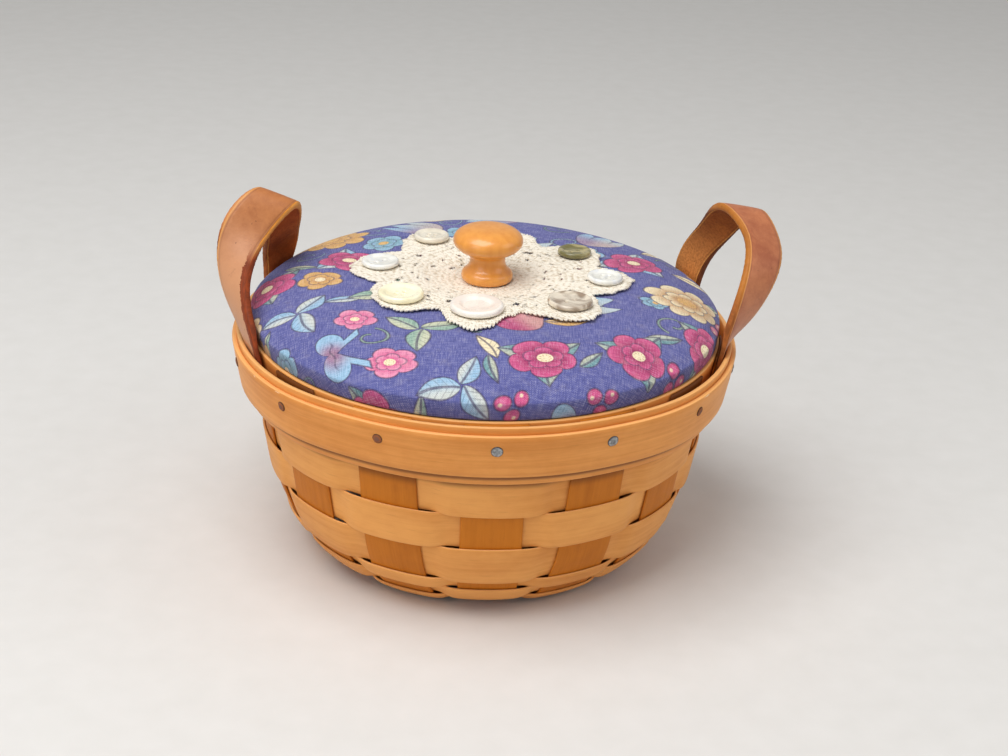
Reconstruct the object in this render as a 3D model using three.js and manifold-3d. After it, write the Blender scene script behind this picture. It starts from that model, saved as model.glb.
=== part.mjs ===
// Round woven splint basket with two leather ear handles and a padded, fabric-covered lid.
// Millimetres. +Z is up, the origin is the centre of the plane that the basket stands on,
// and -Y is the front. An azimuth is counted from the front towards +X.
import * as THREE from 'three';
import { mergeVertices } from 'three/addons/utils/BufferGeometryUtils.js';
import Module from 'manifold-3d';

const wasm = await Module();
wasm.setup();

// Driving dimensions
const clearance = 0.3;
const uprightCount = 14;
const uprightTurn = 2 * Math.PI / uprightCount;
const frontUpright = THREE.MathUtils.degToRad(3.5);
const splintThickness = 1.2;
const splintBaseWidth = 20;
const splintWallWidth = 29.5;
const rimTop = 116.6;
const wallRadius = 119.2;
const wallFlare = 0.165;
const bendHeight = 50;
const footRadius = 70;
const footHandle = 20;
const wallHandle = 20;
const footWidth = 6;
const crossRadius = 46;
const weaveOffset = splintThickness + clearance;
const innerBandThickness = 3;
const outerBandThickness = 2.5;
const trimThickness = 2.4;
const outerBandHeight = 31.3;
const innerBandRise = 0.7;
const innerBandInset = 0.4;
const trimDrop = 3.6;
const trimRise = 5.5;
const sideBulge = 2.6;
const tackDrop = 11.1;
const tackHeadRadius = 2.35;
const tackHeadHeight = 1.2;
const tackShankRadius = 0.85;
const tackHoleRadius = 1.15;
const strapThickness = 4;
const strapRootThickness = 2.3;
const strapWidth = 22.5;
const tailDepth = 22;
const rowGap = 0.7;
const footClearLength = 10.4;
const lidInset = 1.2;
const lidLean = 0.8;
const lidSide = 9.9;
const lidRise = 14.1;
const lidDip = 3;
const lidFullness = 6.25;
const shoulderDrop = 3.5;
const shoulderInset = 2.2;
const shoulderRise = 0.9;
const coverThickness = 1.2;
const hemWidth = 12;
const boardThickness = 3;
const liningThickness = 3;
const liningPlay = 4.8;
const knobRadius = 17.5;
const knobHeight = 28;
const doilyThickness = 1;
const doilyGap = 0.5;
const doilyHole = 10.5;
const doilyValley = 52;
const doilyPetal = 19;
const doilyPhase = -5;
const doilyCentre = [1.2, 1.5];
const buttonHoleRadius = 1.1;
const buttonHoleRing = 2.4;
const screwRadius = 1.9;
const screwHole = 2.5;

// Heights and radii that follow from them
const innerBandSpan = [rimTop - outerBandHeight + innerBandInset, rimTop + innerBandRise];
const outerBandSpan = [rimTop - outerBandHeight, rimTop];
const trimSpan = [rimTop - outerBandHeight + trimRise, rimTop - trimDrop];
const tackHeight = rimTop - tackDrop;
const bendRadius = wallRadius - wallFlare * (rimTop - bendHeight);
const footInner = footRadius - footWidth;
const lidRadius = wallRadius - lidInset;
const lidFootRadius = lidRadius - lidLean;
const lidBottom = innerBandSpan[1] + clearance;
const lidEdge = lidBottom + lidSide;
const boardBottom = lidBottom + coverThickness + clearance;
const lidDipInner = knobRadius - 1.5;
const lidDipOuter = 2.4 * knobRadius;

// Weave rows from the foot up: share of the wall's height along its curve, and whether the row
// passes outside the front upright
const weaveRows = [
  { name: 'weaver_1_foot', share: 10, outside: false },
  { name: 'weaver_2', share: 10.5, outside: true },
  { name: 'weaver_3', share: 7.4, outside: false },
  { name: 'weaver_4_wide', share: 22.7, outside: true },
  { name: 'weaver_5_wide', share: 19.4, outside: false },
  { name: 'weaver_6_rim', share: 17.9, outside: true }
];

// Each strap's two edges, from its front root over the loop to its back root: distance outside the
// wall's radius, azimuth in degrees, and height above the rim
const leftStrap = {
  root: [-67.6, -112.5],
  inner: [[3.2, -69.5, 19.7], [-3.5, -82.8, 33.7], [-10.5, -90.1, 42.7],
    [-22.8, -96.1, 55], [-11.7, -112.6, 36.1], [-0.9, -119.6, 19.3]],
  outer: [[8.3, -79.1, 12.7], [15.7, -88.1, 33.3], [10.3, -90.7, 53.5],
    [-2, -97.3, 62.6], [-2.1, -102.2, 36.4], [6.8, -110.2, 11.7]]
};
const rightStrap = {
  root: [79, 118],
  inner: [[5.5, 73.5, 18.5], [9.2, 81.3, 47.6], [7.2, 87.6, 56],
    [-0.9, 98.8, 61.6], [3.1, 114.9, 39.5], [4.7, 122.2, 19.3]],
  outer: [[11.1, 82.7, 11.1], [26.6, 86.7, 42.2], [26, 92.2, 50.8],
    [21.3, 96.7, 58.9], [13.4, 106, 40.5], [6.4, 112, 17.9]]
};

// Buttons: azimuth in degrees and distance from the doily's centre, radius, thickness, number of
// holes, colour
const buttons = [
  { name: 'button_front_white', at: -6.2, ring: 50.5, radius: 13, thick: 3.6, holes: 0, colour: 0xf6f4ee },
  { name: 'button_front_left_cream', at: -48.7, ring: 56.5, radius: 11.2, thick: 3.4, holes: 4, colour: 0xf2e9c8 },
  { name: 'button_left_pearl', at: -96, ring: 55.5, radius: 9.5, thick: 2.8, holes: 2, colour: 0xdfe6ee },
  { name: 'button_back_left_grey', at: -146, ring: 55.5, radius: 9.2, thick: 3.2, holes: 4, colour: 0xd2cfc4 },
  { name: 'button_back_ivory', at: 175, ring: 55, radius: 10, thick: 3, holes: 4, colour: 0xe9e2cd },
  { name: 'button_back_right_olive', at: 125.4, ring: 53.5, radius: 8.7, thick: 3, holes: 2, colour: 0x8a8a5c },
  { name: 'button_right_pearl', at: 85.7, ring: 58, radius: 9, thick: 3, holes: 4, colour: 0xe6e2cf },
  { name: 'button_front_right_shell', at: 45.8, ring: 55, radius: 11, thick: 3, holes: 2, colour: 0xa89c8c }
];

const vec = (x, y, z) => new THREE.Vector3(x, y, z);
const rad = THREE.MathUtils.degToRad;
const around = (radius, azimuth, z) => vec(radius * Math.sin(azimuth), -radius * Math.cos(azimuth), z);
const ease = (x) => THREE.MathUtils.smoothstep(x, 0, 1);

// Materials, one for each piece
function coat(name, color, roughness, metalness = 0) {
  return new THREE.MeshStandardMaterial({ name, color, roughness, metalness });
}

function piece(name, geometry, material) {
  const mesh = new THREE.Mesh(geometry, material);
  mesh.name = name;
  return mesh;
}

// Closed solid from rows of points; each row lists the face side and, in the same order, the back side
function skin(rows, closed) {
  const corners = rows[0].face.length;
  const size = 2 * corners;
  const points = [];
  for (const row of rows) {
    points.push(...row.face, ...[...row.back].reverse());
  }
  const triangles = [];
  const steps = closed ? rows.length : rows.length - 1;
  for (let i = 0; i < steps; i += 1) {
    const here = i * size;
    const next = ((i + 1) % rows.length) * size;
    for (let j = 0; j < size; j += 1) {
      const k = (j + 1) % size;
      triangles.push(here + j, next + j, next + k, here + j, next + k, here + k);
    }
  }
  if (!closed) {
    const last = (rows.length - 1) * size;
    for (let j = 0; j < corners - 1; j += 1) {
      const a = size - 1 - j;
      const b = size - 2 - j;
      triangles.push(j, j + 1, b, j, b, a);
      triangles.push(last + j, last + b, last + j + 1, last + j, last + a, last + b);
    }
  }
  return solid(points, triangles);
}

// Geometry with its faces turned outwards
function solid(points, triangles) {
  let volume = 0;
  for (let i = 0; i < triangles.length; i += 3) {
    const [a, b, c] = [points[triangles[i]], points[triangles[i + 1]], points[triangles[i + 2]]];
    volume += a.dot(b.clone().cross(c));
  }
  if (volume < 0) {
    triangles.reverse();
  }
  const geometry = new THREE.BufferGeometry();
  geometry.setAttribute('position', new THREE.Float32BufferAttribute(points.flatMap((p) => p.toArray()), 3));
  geometry.setIndex(triangles);
  geometry.computeVertexNormals();
  return geometry;
}

// Solid of revolution about Z from radius and height pairs
function turned(outline, steps) {
  const lathe = new THREE.LatheGeometry(outline.map(([r, z]) => new THREE.Vector2(r, z)), steps);
  lathe.rotateX(Math.PI / 2);
  return lathe;
}

function toManifold(geometry) {
  const clean = geometry.clone();
  clean.deleteAttribute('normal');
  clean.deleteAttribute('uv');
  const merged = mergeVertices(clean, 1e-4);
  const mesh = new wasm.Mesh({
    numProp: 3,
    vertProperties: new Float32Array(merged.attributes.position.array),
    triVerts: new Uint32Array(merged.index.array)
  });
  return new wasm.Manifold(mesh);
}

// The first shape with the other shapes cut away
function cut(geometry, tools) {
  let body = toManifold(geometry);
  for (const tool of tools) {
    body = body.subtract(toManifold(tool));
  }
  const mesh = body.getMesh();
  const result = new THREE.BufferGeometry();
  result.setAttribute('position', new THREE.Float32BufferAttribute(Array.from(mesh.vertProperties), 3));
  result.setIndex(Array.from(mesh.triVerts));
  result.computeVertexNormals();
  return result;
}

// Fullness of the rim at the sides, where the strap ends lie between the bands
function bulge(azimuth) {
  const side = Math.abs(Math.sin(azimuth));
  return sideBulge * ease((side - 0.45) / 0.35);
}

// Corners of the wall outline with their distance from the foot and their outward direction
function outlineCorners() {
  const start = splintThickness / 2;
  const curve = new THREE.CubicBezierCurve(
    new THREE.Vector2(footRadius, start),
    new THREE.Vector2(footRadius + footHandle, start),
    new THREE.Vector2(bendRadius - wallFlare * wallHandle, bendHeight - wallHandle),
    new THREE.Vector2(bendRadius, bendHeight)
  );
  const wallOutline = [...curve.getSpacedPoints(7), new THREE.Vector2(wallRadius, rimTop)];
  const corners = wallOutline.map((point) => ({ r: point.x, z: point.y, s: 0 }));
  for (let i = 1; i < corners.length; i += 1) {
    corners[i].s = corners[i - 1].s + Math.hypot(corners[i].r - corners[i - 1].r, corners[i].z - corners[i - 1].z);
  }
  const normal = (a, b) => {
    const length = Math.hypot(b.r - a.r, b.z - a.z);
    return [(b.z - a.z) / length, -(b.r - a.r) / length];
  };
  for (let i = 0; i < corners.length; i += 1) {
    const before = i === 0 ? [0, -1] : normal(corners[i - 1], corners[i]);
    const after = i === corners.length - 1 ? before : normal(corners[i], corners[i + 1]);
    const sum = [before[0] + after[0], before[1] + after[1]];
    const scale = 2 / (sum[0] ** 2 + sum[1] ** 2);
    corners[i].out = [sum[0] * scale, sum[1] * scale];
  }
  return corners;
}

const corners = outlineCorners();

// Distance up the wall from the foot at a height on its straight part
function lengthAtHeight(z) {
  const [bend, top] = corners.slice(-2);
  return bend.s + (top.s - bend.s) * (z - bend.z) / (top.z - bend.z);
}

// Radius and height of a point at distance s up the wall from the foot, moved outwards by d
function wallPoint(s, d) {
  let i = 0;
  while (i < corners.length - 2 && s > corners[i + 1].s) {
    i += 1;
  }
  const [a, b] = [corners[i], corners[i + 1]];
  const f = (s - a.s) / (b.s - a.s);
  const mix = (p, q) => p + (q - p) * f;
  return [mix(a.r, b.r) + d * mix(a.out[0], b.out[0]), mix(a.z, b.z) + d * mix(a.out[1], b.out[1])];
}

// Lengths from one place to another with the outline's corners in between
function lengthsBetween(from, to) {
  const inside = corners.map((corner) => corner.s).filter((s) => s > from + 0.6 && s < to - 0.6);
  return [from, ...inside, to];
}

// Base: height of the splint of one layer at a distance from the centre; the first lies flat on the ground
function baseHeight(radius, layer) {
  const lift = ease((footInner - radius) / (footInner - crossRadius));
  return splintThickness / 2 + layer * weaveOffset * lift;
}

const across = [-1, -1 / 3, 1 / 3, 1];

// One cross section of an upright on the wall
function uprightRow(s, azimuth) {
  const [radius] = wallPoint(s, 0);
  const grow = THREE.MathUtils.clamp((radius - crossRadius) / (100 - crossRadius), 0, 1);
  const half = (splintBaseWidth + (splintWallWidth - splintBaseWidth) * grow) / 2;
  const side = (d) => across.map((u) => {
    const [r, z] = wallPoint(s, d);
    return around(r, azimuth + u * half / radius, z);
  });
  return { face: side(splintThickness / 2), back: side(-splintThickness / 2) };
}

// One cross section of a splint on the base, at a distance out from the centre
function baseRow(distance, azimuth, layer) {
  const grow = THREE.MathUtils.clamp((distance - crossRadius) / (100 - crossRadius), 0, 1);
  const half = (splintBaseWidth + (splintWallWidth - splintBaseWidth) * grow) / 2;
  const side = (d) => across.map((u) => {
    const reach = Math.hypot(distance, u * half);
    const radius = distance > footInner ? distance : reach;
    const turn = distance > footInner ? u * half / distance : Math.atan2(u * half, distance);
    return around(radius, azimuth + turn, baseHeight(radius, layer) - d);
  });
  return { face: side(splintThickness / 2), back: side(-splintThickness / 2) };
}

// A splint: up one side of the wall, across the base in its own layer, and up the other side
function splint(index) {
  const azimuth = frontUpright + index * uprightTurn;
  const opposite = azimuth + Math.PI;
  const wallStations = [...corners.map((corner) => corner.s)].reverse();
  const baseStations = [footInner, ...[0.67, 0.33, 0].map((f) => crossRadius + f * (footInner - crossRadius)),
    crossRadius / 2, 0.01];
  const rows = wallStations.map((s) => uprightRow(s, azimuth));
  rows.push(...baseStations.map((distance) => baseRow(distance, azimuth, index)));
  const mirror = (row) => ({ face: [...row.face].reverse(), back: [...row.back].reverse() });
  const far = [
    ...wallStations.map((s) => uprightRow(s, opposite)),
    ...baseStations.slice(0, -1).map((distance) => baseRow(distance, opposite, index))
  ];
  rows.push(...far.reverse().map(mirror));
  return cut(skin(rows, false), [tackHole(azimuth), tackHole(opposite)]);
}

// Lower and upper edge of each weave row along the wall, below the bands
function rowSpans() {
  const top = lengthAtHeight(outerBandSpan[0]) - 2 * rowGap;
  const free = top - footClearLength - rowGap * (weaveRows.length - 1);
  const total = weaveRows.reduce((sum, row) => sum + row.share, 0);
  let from = footClearLength;
  return weaveRows.map((row) => {
    const span = [from, from + free * row.share / total];
    from = span[1] + rowGap;
    return span;
  });
}

// A weaver: one closed ring passing outside and inside the uprights in turn
function weaver(row, [from, to]) {
  const stations = lengthsBetween(from, to);
  const [middle] = wallPoint((from + to) / 2, 0);
  const grow = THREE.MathUtils.clamp((middle - crossRadius) / (100 - crossRadius), 0, 1);
  const half = (splintBaseWidth + (splintWallWidth - splintBaseWidth) * grow) / 2;
  const flat = (half + 0.5) / middle;
  const rows = [];
  for (let i = 0; i < uprightCount; i += 1) {
    const direction = (i % 2 === 0) === row.outside ? 1 : -1;
    const azimuth = frontUpright + i * uprightTurn;
    const steps = [...across.map((u) => [u * flat, direction]), [uprightTurn / 2, 0]];
    for (const [turn, way] of steps) {
      const side = (d) => stations.map((s) => {
        const [r, z] = wallPoint(s, way * weaveOffset + d);
        return around(r, azimuth + turn, z);
      });
      rows.push({ face: side(splintThickness / 2), back: side(-splintThickness / 2) });
    }
  }
  return skin(rows, true);
}

// Direction and place of the tack on one upright, at the face of the trim band
function tackFrame(azimuth) {
  const flareHere = wallFlare * (tackHeight - rimTop);
  const face = wallRadius + splintThickness / 2 + clearance + outerBandThickness + clearance + trimThickness;
  const place = around(face + flareHere + bulge(azimuth) + clearance, azimuth, tackHeight);
  const direction = around(1, azimuth, -wallFlare).normalize();
  const turn = new THREE.Quaternion().setFromUnitVectors(vec(0, 1, 0), direction);
  return new THREE.Matrix4().compose(place, turn, vec(1, 1, 1));
}

function tackHole(azimuth) {
  const hole = new THREE.CylinderGeometry(tackHoleRadius, tackHoleRadius, 30, 8);
  return hole.applyMatrix4(tackFrame(azimuth));
}

// A domed tack; its shank goes through the trim band, outer band, upright and inner band
function tack(azimuth) {
  const stack = trimThickness + outerBandThickness + splintThickness + innerBandThickness;
  const length = stack + 5 * clearance + bulge(azimuth);
  const outline = [[0, -length], [tackShankRadius, -length], [tackShankRadius, 0], [tackHeadRadius, 0],
    [tackHeadRadius * 0.9, tackHeadHeight * 0.42], [tackHeadRadius * 0.5, tackHeadHeight * 0.85], [0, tackHeadHeight]];
  const lathe = new THREE.LatheGeometry(outline.map(([r, y]) => new THREE.Vector2(r, y)), 8);
  return lathe.applyMatrix4(tackFrame(azimuth));
}

// A bent wooden band on the rim, following the wall's flare
function band(innerRadius, thickness, span, fullness) {
  const rows = [];
  const steps = 84;
  for (let i = 0; i < steps; i += 1) {
    const azimuth = i * 2 * Math.PI / steps;
    const side = (radius) => span.map((z) => {
      return around(radius + fullness * bulge(azimuth) + wallFlare * (z - rimTop), azimuth, z);
    });
    rows.push({ face: side(innerRadius + thickness), back: side(innerRadius) });
  }
  return skin(rows, true);
}

// The end of a strap below the rim, flat between the uprights and the outer band
function strapTail(azimuth) {
  const radius = wallRadius + splintThickness / 2 + clearance + strapRootThickness / 2;
  const heights = [rimTop - 0.3, rimTop - tailDepth];
  const rows = across.map((u) => {
    const turn = azimuth + u * (strapWidth - 0.6) / 2 / radius;
    const side = (d) => heights.map((z) => around(radius + d + wallFlare * (z - rimTop), turn, z));
    return { face: side(strapRootThickness / 2), back: side(-strapRootThickness / 2) };
  });
  return skin(rows, false);
}

// A leather loop above the rim, swept between its two edges
function ear(strap) {
  const radius = wallRadius + splintThickness / 2 + clearance + strapRootThickness / 2;
  const z = rimTop + 0.7;
  const half = strapWidth / 2 / radius;
  const away = Math.sign(strap.root[0]) * (Math.abs(strap.root[0]) < Math.abs(strap.root[1]) ? 1 : -1);
  const front = rad(strap.root[0]);
  const back = rad(strap.root[1]);
  const toVectors = (list) => list.map(([out, turn, up]) => around(wallRadius + out, rad(turn), rimTop + up));
  const innerEdge = new THREE.CatmullRomCurve3([
    around(radius, front - away * half, z), ...toVectors(strap.inner), around(radius, back + away * half, z)]);
  const outerEdge = new THREE.CatmullRomCurve3([
    around(radius, front + away * half, z), ...toVectors(strap.outer), around(radius, back - away * half, z)]);
  const steps = 35;
  const rows = [];
  for (let i = 0; i <= steps; i += 1) {
    const t = i / steps;
    const inner = innerEdge.getPoint(t);
    const outer = outerEdge.getPoint(t);
    const middle = (u) => innerEdge.getPoint(u).add(outerEdge.getPoint(u));
    const along = middle(Math.min(1, t + 0.01)).sub(middle(Math.max(0, t - 0.01)));
    const through = along.cross(outer.clone().sub(inner)).normalize();
    const grow = ease(Math.min(t, 1 - t) / 0.12);
    const thickness = strapRootThickness + (strapThickness - strapRootThickness) * grow;
    const side = (d) => [inner, outer].map((p) => p.clone().addScaledVector(through, d * thickness / 2));
    rows.push({ face: side(1), back: side(-1) });
  }
  return skin(rows, false);
}

// Height of the cover's outer face at a distance from the lid's axis
function domeHeight(radius) {
  const dome = lidRise * (1 - (radius / lidRadius) ** lidFullness);
  return lidEdge + dome - lidDip * (1 - ease((radius - lidDipInner) / (lidDipOuter - lidDipInner)));
}

const domeStations = [0.136, 0.21, 0.29, 0.4, 0.53, 0.67, 0.79, 0.88, 0.935].map((f) => f * lidRadius);
const lidSteps = 48;

// Fabric cover: dome, side and a hem turned under the board
function lidCover() {
  const hemRadius = lidFootRadius - hemWidth;
  const outer = [[lidFootRadius - 0.8, lidBottom], [lidFootRadius, lidBottom + 0.8], [lidRadius, lidEdge - shoulderDrop],
    [lidRadius - shoulderInset, lidEdge + shoulderRise]];
  const dome = [...domeStations].reverse().map((r) => [r, domeHeight(r)]);
  const inner = domeStations.map((r) => [r, domeHeight(r) - coverThickness]);
  const outline = [
    [hemRadius, lidBottom],
    ...outer,
    ...dome,
    [screwHole, domeHeight(10)],
    [screwHole, domeHeight(10) - coverThickness],
    ...inner,
    [lidRadius - shoulderInset - coverThickness * 0.85, lidEdge + shoulderRise - coverThickness * 0.6],
    [lidRadius - coverThickness, lidEdge - shoulderDrop - 0.3],
    [lidFootRadius - coverThickness, lidBottom + coverThickness],
    [hemRadius, lidBottom + coverThickness],
    [hemRadius, lidBottom]
  ];
  return turned(outline, lidSteps);
}

// Padding between the board and the cover
function lidPadding() {
  const bottom = boardBottom + boardThickness + clearance;
  const under = coverThickness + clearance + 0.15;
  const rim = lidRadius - coverThickness - clearance - 1;
  const top = domeStations.map((r) => [r, domeHeight(r) - under]).reverse();
  const outline = [[screwHole, bottom], [rim - 0.6, bottom], [rim, lidEdge - shoulderDrop - 0.7],
    [rim - shoulderInset, lidEdge - 0.5], ...top,
    [screwHole, domeHeight(10) - under], [screwHole, bottom]];
  return turned(outline, lidSteps);
}

function lidBoard() {
  const radius = lidFootRadius - coverThickness - clearance - 0.2;
  const top = boardBottom + boardThickness;
  return turned([[screwHole, boardBottom], [radius, boardBottom], [radius, top], [screwHole, top],
    [screwHole, boardBottom]], lidSteps);
}

// Disc under the hem that drops inside the inner band and keeps the lid in place
function lidLining() {
  const radius = wallRadius - splintThickness / 2 - clearance - innerBandThickness - liningPlay;
  const top = lidBottom - clearance;
  const bottom = top - liningThickness;
  return turned([[0, bottom], [radius - 0.5, bottom], [radius, bottom + 0.5], [radius, top], [0, top]], lidSteps);
}

// Reach of the doily's scalloped edge from its own centre
function doilyReach(turn) {
  const petal = Math.abs(Math.cos(4 * (turn - rad(doilyPhase))));
  return doilyValley + doilyPetal * petal ** 0.8;
}

// Crocheted doily lying on the cover
function doily() {
  const steps = 80;
  const rows = [];
  for (let i = 0; i < steps; i += 1) {
    const turn = i * 2 * Math.PI / steps;
    const reach = doilyReach(turn);
    const stations = [doilyHole, doilyValley * 0.45, doilyValley * 0.7, reach * 0.82, reach];
    const side = (lift) => stations.map((r) => {
      const point = around(r, turn, 0);
      point.x += doilyCentre[0];
      point.y += doilyCentre[1];
      point.z = Math.max(domeHeight(Math.hypot(point.x, point.y)), domeHeight(10)) + doilyGap + lift;
      return point;
    });
    rows.push({ face: side(doilyThickness), back: side(0) });
  }
  return skin(rows, true);
}

const knobBottom = domeHeight(10) + doilyGap + doilyThickness + clearance;

// Turned knob with a blind hole for its screw
function knob() {
  const shape = [[0.7, 0], [0.77, 0.044], [0.75, 0.11], [0.6, 0.2], [0.49, 0.295], [0.48, 0.405], [0.56, 0.5],
    [0.74, 0.555], [0.925, 0.627], [1, 0.745], [0.937, 0.856], [0.72, 0.945], [0.377, 0.99], [0, 1]];
  const hole = [[0, knobHeight / 2], [screwHole, knobHeight / 2], [screwHole, 0]];
  const geometry = turned([...hole, ...shape.map(([r, z]) => [r * knobRadius, z * knobHeight])], 28);
  geometry.translate(0, 0, knobBottom);
  return geometry;
}

// Screw from under the board up into the knob
function knobScrew() {
  const head = boardBottom - clearance;
  return turned([[0, head - 1.1], [4.4, head - 1.1], [5, head - 0.4], [5, head], [screwRadius, head],
    [screwRadius, knobBottom + knobHeight * 0.4], [0, knobBottom + knobHeight * 0.48]], 12);
}

// A round button lying on the doily, tilted with the dome
function button(entry) {
  const { radius, thick } = entry;
  const outline = [[0, 0], [radius * 0.72, 0], [radius, thick * 0.45], [radius * 0.97, thick * 0.85],
    [radius * 0.86, thick], [radius * 0.64, thick * 0.72], [0, thick * 0.66]];
  let geometry = turned(outline, 20);
  const holes = [];
  for (let i = 0; i < entry.holes; i += 1) {
    const hole = new THREE.CylinderGeometry(buttonHoleRadius, buttonHoleRadius, 4 * thick, 6);
    hole.rotateX(Math.PI / 2);
    const turn = i * 2 * Math.PI / entry.holes + 0.6;
    hole.translate(buttonHoleRing * Math.cos(turn), buttonHoleRing * Math.sin(turn), 0);
    holes.push(hole);
  }
  if (holes.length > 0) {
    geometry = cut(geometry, holes);
  }
  const place = around(entry.ring, rad(entry.at), 0);
  place.x += doilyCentre[0];
  place.y += doilyCentre[1];
  const distance = Math.hypot(place.x, place.y);
  const slope = (domeHeight(distance + 1) - domeHeight(distance - 1)) / 2;
  const up = vec(-slope * place.x / distance, -slope * place.y / distance, 1).normalize();
  place.z = domeHeight(distance) + doilyGap + doilyThickness + clearance + 0.1;
  const turn = new THREE.Quaternion().setFromUnitVectors(vec(0, 0, 1), up);
  geometry.applyMatrix4(new THREE.Matrix4().compose(place, turn, vec(1, 1, 1)));
  return geometry;
}

// Assembly
const basket = new THREE.Group();
basket.name = 'lidded_splint_basket';

const body = new THREE.Group();
body.name = 'basket_body';
basket.add(body);
for (let i = 0; i < uprightCount / 2; i += 1) {
  const name = `splint_${i + 1}`;
  body.add(piece(name, splint(i), coat(name, 0xb4712d, 0.6)));
}
const spans = rowSpans();
weaveRows.forEach((row, i) => {
  body.add(piece(row.name, weaver(row, spans[i]), coat(row.name, 0xdea060, 0.6)));
});

const bandInner = wallRadius - splintThickness / 2 - clearance - innerBandThickness;
const bandOuter = wallRadius + splintThickness / 2 + clearance;
const trimInner = bandOuter + outerBandThickness + clearance;
const allHoles = [];
for (let i = 0; i < uprightCount; i += 1) {
  allHoles.push(tackHole(frontUpright + i * uprightTurn));
}
const innerBand = cut(band(bandInner, innerBandThickness, innerBandSpan, 0), allHoles);
const outerBand = cut(band(bandOuter, outerBandThickness, outerBandSpan, 1), allHoles);
const trimBand = cut(band(trimInner, trimThickness, trimSpan, 1), allHoles);
body.add(piece('inner_band', innerBand, coat('inner_band', 0xc98748, 0.55)));
body.add(piece('outer_band', outerBand, coat('outer_band', 0xcd874a, 0.55)));
body.add(piece('trim_band', trimBand, coat('trim_band', 0xd28c4c, 0.5)));
for (let i = 0; i < uprightCount; i += 1) {
  const name = `tack_${String(i + 1).padStart(2, '0')}`;
  body.add(piece(name, tack(frontUpright + i * uprightTurn), coat(name, 0x9a9792, 0.45, 0.9)));
}
for (const [sideName, strap] of [['left', leftStrap], ['right', rightStrap]]) {
  for (const [endName, azimuth] of [['front', strap.root[0]], ['back', strap.root[1]]]) {
    const name = `${sideName}_strap_${endName}_end`;
    body.add(piece(name, cut(strapTail(rad(azimuth)), allHoles), coat(name, 0x8a4f2c, 0.6)));
  }
  const loop = new THREE.Group();
  loop.name = `${sideName}_ear_group`;
  loop.add(piece(`${sideName}_ear`, ear(strap), coat(`${sideName}_ear`, 0xbe7d5a, 0.5)));
  basket.add(loop);
}

const lid = new THREE.Group();
lid.name = 'lid';
basket.add(lid);
lid.add(piece('lid_lining', lidLining(), coat('lid_lining', 0xb98a58, 0.7)));
lid.add(piece('lid_board', lidBoard(), coat('lid_board', 0xc79a66, 0.7)));
lid.add(piece('lid_padding', lidPadding(), coat('lid_padding', 0xe8e4d8, 0.95)));
lid.add(piece('lid_cover', lidCover(), coat('lid_cover', 0x6464af, 0.9)));
lid.add(piece('doily', doily(), coat('doily', 0xf0e6d2, 0.95)));
lid.add(piece('knob', knob(), coat('knob', 0xd78c32, 0.2)));
lid.add(piece('knob_screw', knobScrew(), coat('knob_screw', 0xb9b9b4, 0.4, 0.9)));
for (const entry of buttons) {
  lid.add(piece(entry.name, button(entry), coat(entry.name, entry.colour, 0.3)));
}

export default basket;
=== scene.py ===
# %% [markdown]
# # A lidded splint basket
# The basket is woven from thin strips of wood called splints. Seven long ones cross under the
# base and turn up as fourteen uprights, six rings weave round them, and three bent bands hold
# the rim. Two leather loops stand up left and right, and a padded cloth lid lies between them.
# Every piece here is a surface worked out with numpy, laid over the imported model.

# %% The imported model, which gives every place and size
import math
from functools import partialmethod

import bpy
import numpy as np
from mathutils import Matrix


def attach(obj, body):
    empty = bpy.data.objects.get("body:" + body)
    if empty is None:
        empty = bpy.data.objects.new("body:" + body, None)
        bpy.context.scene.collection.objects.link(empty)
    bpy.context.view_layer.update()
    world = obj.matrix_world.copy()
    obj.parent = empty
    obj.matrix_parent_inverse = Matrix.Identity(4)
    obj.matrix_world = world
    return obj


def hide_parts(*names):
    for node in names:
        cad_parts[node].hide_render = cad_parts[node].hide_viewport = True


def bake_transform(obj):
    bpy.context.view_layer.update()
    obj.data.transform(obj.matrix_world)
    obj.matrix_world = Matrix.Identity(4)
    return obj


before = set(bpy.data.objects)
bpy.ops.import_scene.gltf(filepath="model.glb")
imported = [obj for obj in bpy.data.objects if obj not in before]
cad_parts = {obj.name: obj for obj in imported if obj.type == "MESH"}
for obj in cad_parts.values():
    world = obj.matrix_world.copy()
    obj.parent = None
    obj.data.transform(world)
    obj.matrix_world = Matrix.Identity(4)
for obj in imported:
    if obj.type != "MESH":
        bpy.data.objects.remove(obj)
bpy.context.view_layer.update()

# %% [markdown]
# ## Camera
# The picture was taken from a little above the rim, through a mildly long lens. A camera in
# Blender looks along its own -Z, so its axes are right, up and back. A lamp shines along -Z
# too, and the same two helpers aim it.


# %% Camera
def axes_from(up, about):
    """Three axes at right angles, as rows: the last points up, and the first is square to about."""
    up = up / np.linalg.norm(up)
    side = np.cross(about, up)
    side /= np.linalg.norm(side)
    return np.stack([side, np.cross(up, side), up])


def hang(name, data, axes, place):
    """An object at a place, with the rows of axes for its own X, Y and Z."""
    matrix = np.eye(4)
    matrix[:3, :3] = np.transpose(axes)
    matrix[:3, 3] = place
    thing = bpy.data.objects.new(name, data)
    thing.matrix_world = Matrix(matrix.tolist())
    bpy.context.scene.collection.objects.link(thing)
    print(name, "at", [round(float(v), 3) for v in place])
    return thing


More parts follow.
